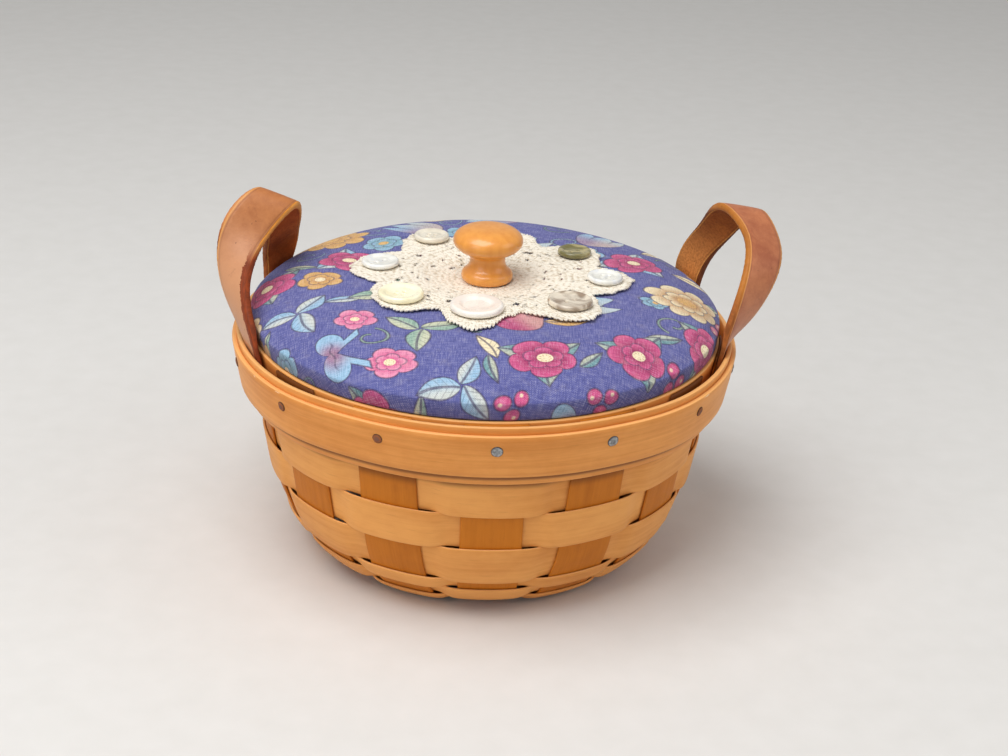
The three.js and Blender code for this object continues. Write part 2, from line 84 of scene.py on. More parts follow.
def aim_camera(distance, elevation, yaw, pitch, roll, focal, centre_height):
    """A camera at a distance and elevation from the rim's centre, then turned by small angles."""
    ahead = np.array([0, math.cos(elevation), -math.sin(elevation)])
    right = np.array([1.0, 0, 0])
    up = np.cross(right, ahead)
    look = (ahead * math.cos(yaw) + right * math.sin(yaw)) * math.cos(pitch) + up * math.sin(pitch)
    side, top, back = axes_from(-look, up)
    rolled_side = side * math.cos(roll) + top * math.sin(roll)
    rolled_top = top * math.cos(roll) - side * math.sin(roll)
    data = bpy.data.cameras.new("camera")
    data.sensor_width = 36
    data.lens = focal
    data.clip_start = 0.01
    place = [0, 0, centre_height] - ahead * distance
    bpy.context.scene.camera = hang("camera", data, [rolled_side, rolled_top, back], place)


ANGLES = {"elevation": 22.70, "yaw": 0.67, "pitch": -1.59, "roll": 2.20}
radians = {key: math.radians(value) for key, value in ANGLES.items()}
aim_camera(distance=0.91187, focal=64.01, centre_height=0.114, **radians)

# %% [markdown]
# ## Light
# A soft studio: a wide lamp above, a weaker one at the front left and another on the right,
# in a pale world.

# %% Light
LAMPS = {  # place, height of the target on the axis, size and power
    "key_lamp": ((-0.42, -0.45, 1.5), 0.08, 1.2, 21),
    "front_lamp": ((-1.1, -1.25, 0.75), 0.08, 0.9, 4),
    "side_lamp": ((1.2, -0.3, 0.8), 0.1, 0.9, 3),
}
for name, (place, target, size, power) in LAMPS.items():
    data = bpy.data.lights.new(name, "AREA")
    data.shape = "SQUARE"
    data.size = size
    data.energy = power
    hang(name, data, axes_from(np.subtract(place, (0, 0, target)), (0, 0, 1)), place)
bpy.context.scene.view_settings.view_transform = "Standard"

world = bpy.data.worlds.new("studio")
world.use_nodes = True
bpy.context.scene.world = world
world_light = world.node_tree.nodes["Background"]
world_light.inputs["Color"].default_value = (1, 1, 1, 1)
world_light.inputs["Strength"].default_value = 0.4

# %% [markdown]
# ## Shader maths as plain expressions
# A finish is a small program of nodes. Wrapping each socket in a class lets it be written with
# + - * /, and one method adds any other node from its type, its settings and its inputs.


# %% Colours
def tint(red, green, blue):
    """A colour given as a screen shows it, 0 to 255, turned into the linear one that nodes use."""
    screen = np.array([red, green, blue]) / 255
    linear = np.where(screen <= 0.04045, screen / 12.92, ((screen + 0.055) / 1.055) ** 2.4)
    return (*[float(v) for v in linear], 1.0)


def times(colour, factor):
    """The colour times a factor, no part above 1."""
    return (*[min(1.0, factor * v) for v in colour[:3]], 1.0)


# %% Arithmetic on sockets
class Wire:
    """The output of a node; arithmetic on it adds Math nodes."""

    def __init__(self, finish, socket):
        self.finish = finish
        self.socket = socket

    def math(self, operation, *others):
        return self.finish.node("Math", {"operation": operation}, dict(enumerate([self, *others])))

    def __rsub__(self, other):
        return self.math("MULTIPLY_ADD", -1.0, other)

    __add__ = __radd__ = partialmethod(math, "ADD")
    __sub__ = partialmethod(math, "SUBTRACT")
    __mul__ = __rmul__ = partialmethod(math, "MULTIPLY")
    __truediv__ = partialmethod(math, "DIVIDE")
    __pow__ = partialmethod(math, "POWER")
    sin = partialmethod(math, "SINE")
    cos = partialmethod(math, "COSINE")
    size = partialmethod(math, "ABSOLUTE")
    above = partialmethod(math, "GREATER_THAN")
    below = partialmethod(math, "LESS_THAN")
    least = partialmethod(math, "MINIMUM")
    most = partialmethod(math, "MAXIMUM")


def polar(x, y):
    """How far an offset reaches, the root of the sum of squares, and its angle."""
    return (x * x + y * y) ** 0.5, y.math("ARCTAN2", x)


# %% A finish
class Finish:
    """A material with one Principled shader; fixed values go straight on the shader's sockets."""

    def __init__(self, name, **fixed):
        self.material = bpy.data.materials.new(name)
        self.material.use_nodes = True
        self.tree = self.material.node_tree
        self.shader = self.tree.nodes["Principled BSDF"]
        for socket, value in fixed.items():
            self.shader.inputs[socket.replace("_", " ")].default_value = value

    def node(self, kind, settings=None, inputs=None, output=0):
        """Any node, from its type, settings and inputs; stops fills its ramp with flat bands of colour."""
        made = self.tree.nodes.new("ShaderNode" + kind)
        for key, value in (settings or {}).items():
            if key == "stops":
                ramp = made.color_ramp
                ramp.interpolation = "CONSTANT"
                while len(ramp.elements) < len(value):
                    ramp.elements.new(0.5)
                for element, (place, colour) in zip(ramp.elements, value):
                    element.position = place
                    element.color = colour
            else:
                setattr(made, key, value)
        for key, value in (inputs or {}).items():
            if isinstance(value, Wire):
                self.tree.links.new(value.socket, made.inputs[key])
            else:
                made.inputs[key].default_value = value
        return Wire(self, made.outputs[output])

    def put(self, socket, wire):
        self.tree.links.new(wire.socket, self.shader.inputs[socket])

    def done(self, colour, rough, height=None, distance=0.0, strength=1.0):
        """Colour, roughness and, where a height is given, its bump go to the shader."""
        self.put("Base Color", colour)
        self.put("Roughness", rough)
        if height:
            inputs = {"Height": height, "Distance": distance, "Strength": strength}
            self.put("Normal", self.node("Bump", None, inputs))
        return self

    def place(self):
        return self.node("TexCoord", output="Object")

    def lay(self):
        """The map that a piece carries, in metres along it and across it."""
        return self.node("UVMap", {"uv_map": "lay"})


# %% Nodes as functions of wires
def wired(kind, settings, inputs, output=0):
    """A node in the finish that the first wire among its inputs belongs to."""
    first = next(value for value in inputs.values() if isinstance(value, Wire))
    return first.finish.node(kind, settings, inputs, output)


def scaled(vector, factors, shift=(0, 0, 0)):
    return wired("VectorMath", {"operation": "MULTIPLY_ADD"}, {0: vector, 1: factors, 2: shift})


def parts(vector):
    first = wired("SeparateXYZ", None, {0: vector})
    return [Wire(first.finish, output) for output in first.socket.node.outputs]


def join(x, y):
    return wired("CombineXYZ", None, {0: x, 1: y})


def noise(vector, scale=1.0, detail=3.0, roughness=0.5, distortion=0.0, output=0):
    inputs = {"Vector": vector, "Scale": scale, "Detail": detail, "Roughness": roughness}
    return wired("TexNoise", None, {**inputs, "Distortion": distortion}, output)


def step(value, low, high):
    """0 below low, 1 above high and a smooth S between; low may be the larger."""
    return wired("MapRange", {"interpolation_type": "SMOOTHSTEP"}, {0: value, 1: low, 2: high})


def mix(factor, first, second):
    return wired("Mix", {"data_type": "RGBA"}, {0: factor, 6: first, 7: second}, 2)


# %% [markdown]
# ## Floor
# Pale paper, hardly darker than the world, so that the shadow under the basket stays soft.

# %% Floor
floor_finish = Finish("floor_paper", Roughness=0.9)
floor_grain = noise(floor_finish.place(), 60.0)
floor_finish.put("Base Color", mix(floor_grain, tint(214, 212, 208), tint(222, 220, 217)))
bpy.ops.mesh.primitive_plane_add(size=6, location=(0, 0, -0.0006))
floor = bpy.context.object
floor.name = "floor"
floor.data.materials.append(floor_finish.material)

# %% [markdown]
# ## Surfaces from grids
# A grid of points is the common form of every piece: rows run along it and columns go across
# it or round its section. Neighbouring points make four-sided faces, and where the first and
# last meet, the grid is wrapped. A closed piece whose volume comes out negative is inside out,
# so its faces are turned.


# %% Grid to mesh
def signed_volume(points, faces):
    """Sum over the faces of corner dot (corner cross corner) over six, for each half of a square."""
    a, b, c, d = (points[faces[:, i]] for i in range(4))
    return sum(np.einsum("ij,ij->i", a, np.cross(*pair)).sum() for pair in ((b, c), (c, d))) / 6


def surface(name, points, lay=None, wrap_rows=False, wrap_columns=False, caps=False, keep=None):
    """A mesh object, in metres, from a grid of points in millimetres, rows by columns by three.

    lay is the map's coordinates in metres on the same grid, one row more where the rows wrap.
    keep is a mask that says which faces stay."""
    rows, columns = points.shape[:2]
    i = np.arange(rows if wrap_rows else rows - 1)[:, None]
    j = np.arange(columns if wrap_columns else columns - 1)[None, :]
    steps = [(i, j), (i, j + 1), (i + 1, j + 1), (i + 1, j)]
    faces = np.stack([(a % rows) * columns + b % columns + 0 * (i + j) for a, b in steps], -1).reshape(-1, 4)
    flat = points.reshape(-1, 3) / 1000
    turned = signed_volume(flat, faces) < 0
    faces = faces if keep is None else faces[keep.ravel()]
    face_lists = (faces[:, ::-1] if turned else faces).tolist()
    if caps:
        first = list(range(columns))
        last = [(rows - 1) * columns + k for k in range(columns)]
        face_lists += [first if turned else first[::-1], last[::-1] if turned else last]
    mesh = bpy.data.meshes.new(name)
    mesh.from_pydata(flat.tolist(), [], face_lists)
    if lay is not None:
        lay = np.concatenate([lay, lay[:, :1]], 1) if wrap_columns else lay
        corner = np.stack([lay[a + 0 * j, b + 0 * i] for a, b in steps], -2).reshape(-1, 4, 2)
        corner = corner[:, ::-1] if turned else corner
        values = np.zeros((len(mesh.loops), 2))
        values[:corner.shape[0] * 4] = corner.reshape(-1, 2)
        mesh.uv_layers.new(name="lay").data.foreach_set("uv", values.ravel())
    mesh.shade_smooth()
    piece = bpy.data.objects.new(name, mesh)
    bpy.context.scene.collection.objects.link(piece)
    return piece


# %% Finish, slot and body
def settle(piece, finish, slot, body, *nodes):
    """Gives a piece its finish, lets it ride on a body and hides the nodes it stands for; slot is not used.
    """
    piece.data.materials.append(finish.material)
    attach(piece, body)
    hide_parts(*nodes)
    print(f"{piece.name}: {len(piece.data.vertices)} points, on {body}")


# %% Curves and sections
def ease(x):
    """0 below 0, 1 above 1 and 3x^2 - 2x^3 between."""
    x = np.clip(x, 0, 1)
    return x * x * (3 - 2 * x)


def circle(count):
    """Equal angles once round; the last closes the circle."""
    return np.linspace(0, 2 * math.pi, count + 1)


def around(radius, azimuth, height):
    """Points at a radius and height; the azimuth is counted from the front towards +X."""
    radius, azimuth, height = np.broadcast_arrays(radius, azimuth, height)
    return np.stack([radius * np.sin(azimuth), -radius * np.cos(azimuth), height], -1)


def turned_points(profile, azimuth):
    """A profile of radius and height carried round Z."""
    return around(profile[None, :, 0], azimuth[:, None], profile[None, :, 1])


def strip_outline(count, edge):
    """Round a flat strip: across from -1 to 1 and through from -1 to 1, with edge the corner's share."""
    flat = np.linspace(-1 + edge, 1 - edge, count)
    ones = np.ones(count)
    corner = np.array([1 - 0.3 * edge, 1, 1, 1 - 0.3 * edge])
    round_over = np.array([0.8, 0.35, -0.35, -0.8])
    across = np.concatenate([flat, corner, flat[::-1], -corner])
    return across, np.concatenate([ones, round_over, -ones, -round_over])


def travel(line):
    """Length along a line of points, counted from its first."""
    return np.concatenate([[0], np.cumsum(np.linalg.norm(np.diff(line, axis=0), axis=1))])


def calm(line, sigma, reach, **edge):
    """Evens out a line of values with a bell curve; edge says how the line goes on past its ends."""
    bell = np.exp(-0.5 * (np.arange(-reach, reach + 1) / sigma) ** 2)
    return np.convolve(np.pad(line, reach, **edge), bell / bell.sum(), "valid")


# %% [markdown]
# ## The wall as a function
# All the splints follow one middle surface. It rises from a flat foot in a smooth bend, a
# Bezier curve, and goes on straight, leaning out a little. A table of its length, radius,
# height and outward direction lets any strip be laid on it at any distance.

# %% Sizes of the wall
RIM_TOP = 116.6
BAND_BOTTOM = 85.3
TRIM_BOTTOM = 90.8
WALL_RADIUS = 119.2
FLARE = 0.165
BEND_HEIGHT = 50.0
BEND_PULL = 20
FOOT_RADIUS = 70.0
FOOT_HEIGHT = 0.6
FLAT_RADIUS = 56
CROSS_END = 64
CROSS_RADIUS = 46.0
WIDE_RADIUS = 100
SPLINT_WIDTHS = (20, 29.5)
SPLINT = 1.2
WEAVE = 1.5
UPRIGHTS = 14
FRONT = math.radians(3.5)
TURN = 2 * math.pi / UPRIGHTS


# %% Wall
def wall_table():
    """Length from the foot, radius, height and outward normal along the wall's middle line."""
    t = np.linspace(0, 1, 400)[:, None]
    bend = WALL_RADIUS - FLARE * (RIM_TOP - BEND_HEIGHT)
    handles = np.array([[FOOT_RADIUS, FOOT_HEIGHT], [FOOT_RADIUS + BEND_PULL, FOOT_HEIGHT],
                        [bend - FLARE * BEND_PULL, BEND_HEIGHT - BEND_PULL], [bend, BEND_HEIGHT]])
    curve = ((1 - t) ** 3 * handles[0] + 3 * (1 - t) ** 2 * t * handles[1]
             + 3 * (1 - t) * t ** 2 * handles[2] + t ** 3 * handles[3])
    line = np.vstack([[[-1, FOOT_HEIGHT]], curve, [[WALL_RADIUS + FLARE, RIM_TOP + 1]]])
    length = travel(line) - (FOOT_RADIUS + 1)
    slope = np.gradient(line, length, axis=0)
    slope /= np.hypot(*slope.T)[:, None]
    return length, line[:, 0], line[:, 1], slope[:, 1], -slope[:, 0]


WALL = wall_table()


def wall_length(height):
    """Length up the wall at a height above the foot."""
    return float(np.interp(height, WALL[2][2:], WALL[0][2:]))


def wall(length, out):
    """Radius and height at a length up the wall from the foot, moved outwards."""
    radius, height, normal_r, normal_z = (np.interp(length, WALL[0], column) for column in WALL[1:])
    return radius + out * normal_r, height + out * normal_z


def splint_half(radius):
    """Half the width of a splint, which grows evenly from its width on the base to that on the wall."""
    narrow, full = SPLINT_WIDTHS
    share = np.clip((radius - CROSS_RADIUS) / (WIDE_RADIUS - CROSS_RADIUS), 0, 1)
    return (narrow + (full - narrow) * share) / 2


print("wall length:", round(wall_length(RIM_TOP), 1), "mm")

# %% [markdown]
# ## Wood
# Maple splint has fine straight pores along its length, slow changes of tone, and a satin
# coat. The map laid on each strip runs along it, so that the same recipe turns with the strip.
# Painted shade darkens the seams under the bands and the uprights' tops in the gap that the
# strap ends open between them, and faces that look up get a painted highlight.

# %% Wood finish
SEAM_SHADE = tint(80, 36, 8)


def wood(name, light, dark, seed, streak=1.0, coat=0.08, rough=0.5, worn=0.0, nicks=0.0, shade=None, gap=0.0):
    """Long streaks, fine pores and slow blotches, each a noise stretched along the strip.

    worn paints a highlight on faces that look up, and nicks chips the edge at that height. shade
    says where a seam's painted shade begins and is full, and how strong it is; gap paints shade on
    the uprights' tops at the sides."""
    finish = Finish(name, Coat_Weight=coat, Coat_Roughness=0.3, Specular_IOR_Level=0.22)
    lay = finish.lay()

    def stretched(factors, shift, *rest):
        return noise(scaled(lay, factors, shift), 1.0, *rest)

    drift = stretched((11, 30, 1), (seed, seed, seed), 3.0)
    streaks = stretched((9, 420, 1), (seed, 0, seed), 4.0, 0.55)
    pores = stretched((110, 2600, 1), (0, seed, seed), 3.0, 0.6)
    mottle = stretched((120, 160, 1), (seed, seed, 1), 3.0, 0.6)
    tone = streaks * (0.36 * streak) + drift * 0.55 + pores * 0.16 + mottle * 0.16
    colour = mix(step(tone, 0.4, 0.86), light, dark)
    fleck = step(stretched((60, 1300, 1), (seed, 7, seed), 2.0), 0.64, 0.76)
    colour = mix(fleck * 0.28, colour, times(dark, 0.6))
    # Painted highlight: faces that look up are paler, as if lit from above.
    if worn:
        upward = parts(finish.node("TexCoord", output="Normal"))[2]
        colour = mix(step(upward, 0.35, 0.9) * worn, colour, tint(250, 196, 130))
    if nicks:
        _, up, _ = parts(lay)
        chip = stretched((70, 420, 1), (seed, 3, 0), 4.0, 0.65) + step(up, nicks - 0.004, nicks) * 0.16
        chip = step(chip, 0.74, 0.8) * up.above(nicks - 0.004)
        colour = mix(chip * 0.8, colour, tint(250, 222, 184))
    x, _, height = parts(finish.place())
    # Painted shade under a band: darker from just below its edge upwards, nothing above 0.1 m.
    if shade:
        start, full, strength = shade
        colour = mix(step(height, start, full) * height.below(0.1) * strength, colour, SEAM_SHADE)
    # Painted shade on the uprights' tops where the bands stand apart at the sides.
    if gap:
        gap_shade = step(height, 0.110, 0.1145) * step(x.size(), 0.062, 0.08) * gap
        colour = mix(gap_shade, colour, SEAM_SHADE)
    return finish.done(colour, rough + 0.14 * streaks, pores * 0.5 + streaks + mottle * 0.4, 0.0002, 0.5)


# The seam values paint shade under the bands; gap paints shade on the uprights' tops at the sides.
SPLINT_WOOD = [wood(f"amber_splint_{k}", tint(200, 117, 24), tint(164, 87, 7), 3.0 + k, 0.75, 0.04,
                    shade=(0.0785, 0.0842, 0.6), gap=0.85) for k in range(3)]
WEAVER_WOOD = [wood(f"honey_weaver_{k}", tint(236, 166, 90), tint(208, 132, 60), 11.0 + k, 0.8, worn=0.5,
                    shade=(0.0812, 0.0849, 0.66)) for k in range(3)]
BAND_WOOD = [wood(f"rim_band_{k}", tint(238, 163, 86), tint(206, 129, 56), 23.0 + k, 1.0, 0.12, 0.45, 0.5,
                  0.1233 if k == 2 else 0.0, (0.0871, 0.0890, 0.72) if k == 1 else None) for k in range(3)]

# %% [markdown]
# ## Uprights
# Each splint is one strip from rim to rim. On the base the seven cross in layers, one and a
# half millimetres apart, so they are flat strips there; on the wall they bend round the
# basket. Between the two the plan is blended.


# %% Splints
def splint(index):
    """Rows run from rim to rim by signed length; columns go round the strip's section."""
    reach = FOOT_RADIUS + wall_length(RIM_TOP)
    spans = ((0, CROSS_END, 20), (CROSS_END + 2, 140, 34), (143, reach, 18))  # from, to and rows
    half_rows = np.concatenate([np.linspace(*span) for span in spans])
    along = np.concatenate([-half_rows[:0:-1], half_rows])[:, None]
    across, through = strip_outline(11, 0.06)
    distance = np.abs(along)
    radius, _ = wall(distance - FOOT_RADIUS, 0)
    side = across * splint_half(radius)
    out = through * SPLINT / 2
    bent_r, bent_z = wall(distance - FOOT_RADIUS, out)
    angle = side / radius
    bent = ease((distance - FLAT_RADIUS) / (FOOT_RADIUS - FLAT_RADIUS))
    plan_x = np.sign(along) * (distance * (1 - bent) + bent_r * np.cos(angle) * bent)
    plan_y = side * (1 - bent) + bent_r * np.sin(angle) * bent
    lift = index * WEAVE * ease((CROSS_END - np.hypot(distance, side)) / (CROSS_END - CROSS_RADIUS))
    height = np.where(distance < FOOT_RADIUS, FOOT_HEIGHT - out, bent_z) + lift
    azimuth = FRONT + index * TURN
    ahead = np.array([math.sin(azimuth), -math.cos(azimuth)])
    left = np.array([math.cos(azimuth), math.sin(azimuth)])
    plan = plan_x[..., None] * ahead + plan_y[..., None] * left
    lay = np.stack([along / 1000 + 0 * side, side / 1000 + 0.01 * through], -1)
    piece = surface(f"splint_strip_{index + 1}", np.concatenate([plan, height[..., None]], -1), lay,
                    wrap_columns=True, caps=True)
    settle(piece, SPLINT_WOOD[index % 3], "splint_wood", "basket", f"splint_{index + 1}")


for index in range(UPRIGHTS // 2):
    splint(index)

# %% [markdown]
# ## Weavers
# A weaver is a ring that swings outside one upright and inside the next. The swing is a
# cosine squared off by a hyperbolic tangent, so it lies flat over each upright and crosses
# quickly between them. Over the uprights it is half a millimetre wider on each side, so the
# rows close up there and gaps are left only at the crossings. Slow waves of a few tenths of a
# millimetre keep it from looking made by a machine.

# %% Weave rows
ROWS = {  # share of the wall's height, and how sharply the row crosses between uprights
    "weaver_1_foot": (10, 3.4),
    "weaver_2": (10.5, 3.6),
    "weaver_3": (7.4, 3.6),
    "weaver_4_wide": (22.7, 3.2),
    "weaver_5_wide": (19.4, 3.8),
    "weaver_6_rim": (17.9, 3.8),
}
ROW_GAP = 0.7
FOOT_CLEAR = 10.4
RIM_REACH = 1.0
SNUG = 0.5
row_free = wall_length(BAND_BOTTOM) - FOOT_CLEAR - ROW_GAP * (len(ROWS) + 1)  # two gaps under the bands
share_total = sum(share for share, _ in ROWS.values())
row_spans = []
row_start = FOOT_CLEAR
for share, _ in ROWS.values():
    row_spans.append((row_start, row_start + row_free * share / share_total))
    row_start = row_spans[-1][1] + ROW_GAP
print("weave rows along the wall:", [tuple(round(v, 1) for v in span) for span in row_spans])
waves = np.random.default_rng(5)


# %% Weavers
def weaver(index, node, hard):
    """Rows run round the basket; columns go round the strip's section, mostly up and down."""
    low, high = row_spans[index]
    high += RIM_REACH if node == "weaver_6_rim" else 0
    middle, half = (low + high) / 2, (high - low) / 2 + 0.27
    turn = circle(UPRIGHTS * 26)[:, None]
    azimuth = turn[:-1] + FRONT + (6 + index % 2) * TURN
    swing = np.cos((azimuth - FRONT) / TURN * math.pi) * (1 if index % 2 else -1)
    phase = waves.uniform(0, 6.28, 4)
    slow = 0.12 * np.sin(5 * azimuth + phase[0]) + 0.08 * np.sin(11 * azimuth + phase[1])
    lie = np.tanh(hard * swing) / math.tanh(hard)
    offset = (WEAVE - 0.08) * lie * (1 + 0.04 * np.sin(3 * azimuth + phase[2]))
    across, through = strip_outline(8, 0.05 if index > 2 else 0.09)
    length = middle + slow + across * (half + SNUG * lie ** 2)
    radius, height = wall(length, offset + through * SPLINT / 2)
    lay = np.stack([turn * wall(middle, 0)[0] / 1000 + 0 * across,
                    across * half / 1000 + 0.01 * through + 0 * turn], -1)
    piece = surface(f"weaver_ring_{index + 1}", around(radius, azimuth, height), lay,
                    wrap_rows=True, wrap_columns=True)
    settle(piece, WEAVER_WOOD[index % 3], "weaver_wood", "basket", node)


for index, (node, (_, hard)) in enumerate(ROWS.items()):
    weaver(index, node, hard)

# %% [markdown]
# ## Rim bands
# Three bands hold the rim: one inside, one behind, and the trim outside. At the sides they
# stand out a little, because the ends of the leather straps lie between them. Their edges are
# rounded by sanding.

# %% Band sizes
BULGE = 2.6
BAND_START = math.pi + 0.16
BANDS = {  # inner radius, thickness, bottom, top, and whether it stands out at the sides
    "inner": (115.3, 3.0, BAND_BOTTOM + 0.4, 117.3, 0),
    "outer": (120.1, 2.5, BAND_BOTTOM, RIM_TOP, 1),
    "trim": (122.66, 2.64, TRIM_BOTTOM, 113.0, 1),
}


# %% Bands
def bulge(azimuth):
    """Fullness at the sides, where the strap ends lie between the bands."""
    return BULGE * ease((np.abs(np.sin(azimuth)) - 0.45) / 0.35)


def band(name, inner, thickness, low, high, fullness, finish):
    """A ring whose section is a flat strip on edge; it leans out with the wall."""
    turn = circle(320)[:, None]
    azimuth = turn[:-1] + BAND_START
    across, through = strip_outline(8, 0.045)
    height = (low + high) / 2 + across * (high - low) / 2
    crown = 0.12 * (1 - across ** 2) * (through > 0) * fullness
    lean = FLARE * (height - RIM_TOP)
    radius = inner + thickness * (1 + through) / 2 + fullness * bulge(azimuth) + lean + crown
    lay = np.stack([turn * inner / 1000 + 0 * across, height / 1000 + 0.01 * through + 0 * turn], -1)
    points = around(radius, azimuth, height)
    piece = surface(f"rim_{name}_band", points, lay, wrap_rows=True, wrap_columns=True)
    settle(piece, finish, "band_wood", "basket", f"{name}_band")


for (name, sizes), finish in zip(BANDS.items(), BAND_WOOD):
    band(name, *sizes, finish)

# %% [markdown]
# ## Tacks
# One tack on each upright goes through all the bands. The heads are low domes of dull steel,
# hammered a little into the trim, and a few have rusted to brown.

# %% Tack sizes
TACK_HEIGHT = 105.5
TACK_HEAD = 2.55
TACK_SHANK = 0.85
TACK_DEPTH = 10.6
TACK_GAP = 0.3
TACK_SINK = 0.5
TACK_FACE = sum(BANDS["trim"][:2]) + TACK_GAP - TACK_SINK  # from the trim's outer face
WIDE_HEADS = (0, 1)
RUSTED = (2, 5, 11, 12, 13)


# %% Tack metal
def metal(name, bright, dull, rust, rough):
    """Dull steel with darker specks, a painted darker middle that leaves the rim as a painted
    highlight, painted shade round the edge, and rust spread by a noise.

    The map gives the share of the head's radius, in thousandths."""
    finish = Finish(name, Specular_IOR_Level=0.5)
    place = finish.place()
    speck = noise(place, 900.0, 4.0)
    share, _, _ = parts(finish.lay())
    colour = mix(step(speck, 0.35, 0.65), bright, dull)
    brown = step(noise(place, 320.0, 3.0), 0.62 - 0.5 * rust, 0.8 - 0.5 * rust)
    colour = mix(brown, colour, tint(146, 84, 46))
    # Painted shade in the middle of the head, so the rim reads as a painted highlight ring.
    colour = mix(step(share, 0.00064, 0.00036) * 0.4, colour, tint(72, 74, 78))
    # Painted shade round the edge, where the head sits sunk in its dent.
    colour = mix(step(share, 0.00078, 0.00098) * 0.8, colour, tint(44, 32, 24))
    finish.put("Metallic", 0.85 - 0.75 * brown)
    return finish.done(colour, rough + 0.3 * brown, speck, 0.0001, 0.4)


TACK_STEEL = metal("tack_steel", tint(176, 178, 180), tint(126, 128, 130), 0.0, 0.34)
TACK_RUST = metal("tack_rust", tint(150, 112, 84), tint(118, 80, 54), 0.9, 0.5)


# %% Tacks
def tack(index):
    """A domed head and a shank, turned about the wall's outward direction."""
    azimuth = FRONT + index * TURN
    shank = TACK_DEPTH + float(bulge(azimuth))
    arc = np.linspace(0, 1, 7)[:-1] * math.pi / 2
    head = np.stack([TACK_HEAD * np.cos(arc), 0.35 + 0.65 * np.sin(arc)], -1)
    foot = [[0.01, -shank], [TACK_SHANK, -shank], [TACK_SHANK, 0], [2.4, 0], [TACK_HEAD, 0.12]]
    profile = np.vstack([foot, head, [[0.01, 1.0]]])
    local = turned_points(profile, circle(20)[:-1])
    dent = 0.12 * np.sin(local[..., 0] * 2.1 + index) * np.sin(local[..., 1] * 1.7 + 2 * index)
    local[..., 2] += np.where(local[..., 2] > 0.5, dent, 0)
    lay = np.stack([np.hypot(local[..., 0], local[..., 1]) / (1000 * TACK_HEAD), local[..., 2] / 1000], -1)
    local[..., :2] *= 1.1 if index in WIDE_HEADS else 0.96
    place = around(TACK_FACE + FLARE * (TACK_HEIGHT - RIM_TOP) + float(bulge(azimuth)), azimuth, TACK_HEIGHT)
    points = local @ axes_from(around(1.0, azimuth, -FLARE), (0, 0, 1)) + place
    piece = surface(f"tack_nail_{index + 1:02d}", points, np.concatenate([lay, lay[:1]]), wrap_rows=True)
    finish = TACK_RUST if index in RUSTED else TACK_STEEL
    settle(piece, finish, "tack_metal", "basket", f"tack_{index + 1:02d}")


for index in range(UPRIGHTS):
    tack(index)

# %% [markdown]
# ## Leather loops
# Each handle is one strap. Its ends go down flat between the bands, and between them it
# leans and turns over in a standing loop. Two edge lines, each a smooth curve through a few
# points, carry the section; the outer face is tan, the cut edge orange and the inner face
# dark.


# %% Smooth curve through points
def smooth_curve(knots, count):
    """A natural cubic spline through the knots, by chord length, sampled at equal steps of it."""
    at = travel(knots)
    chord = np.diff(at)
    size = len(knots)
    matrix = np.eye(size)
    target = np.zeros_like(knots)
    inner = np.arange(1, size - 1)
    matrix[inner, inner - 1] = chord[:-1]
    matrix[inner, inner] = 2 * (chord[:-1] + chord[1:])
    matrix[inner, inner + 1] = chord[1:]
    slope = np.diff(knots, axis=0) / chord[:, None]
    target[1:-1] = 6 * np.diff(slope, axis=0)
    second = np.linalg.solve(matrix, target)
    t = np.linspace(0, at[-1], count)
    k = np.clip(np.searchsorted(at, t, side="right") - 1, 0, size - 2)
    h = chord[k][:, None]
    a = (at[k + 1] - t)[:, None] / h
    b = 1 - a
    return (a * knots[k] + b * knots[k + 1]
            + ((a ** 3 - a) * second[k] + (b ** 3 - b) * second[k + 1]) * h ** 2 / 6)


# %% Leather finishes
EDGE_LINE = 0.0088
CUT_EDGE = tint(222, 158, 84)


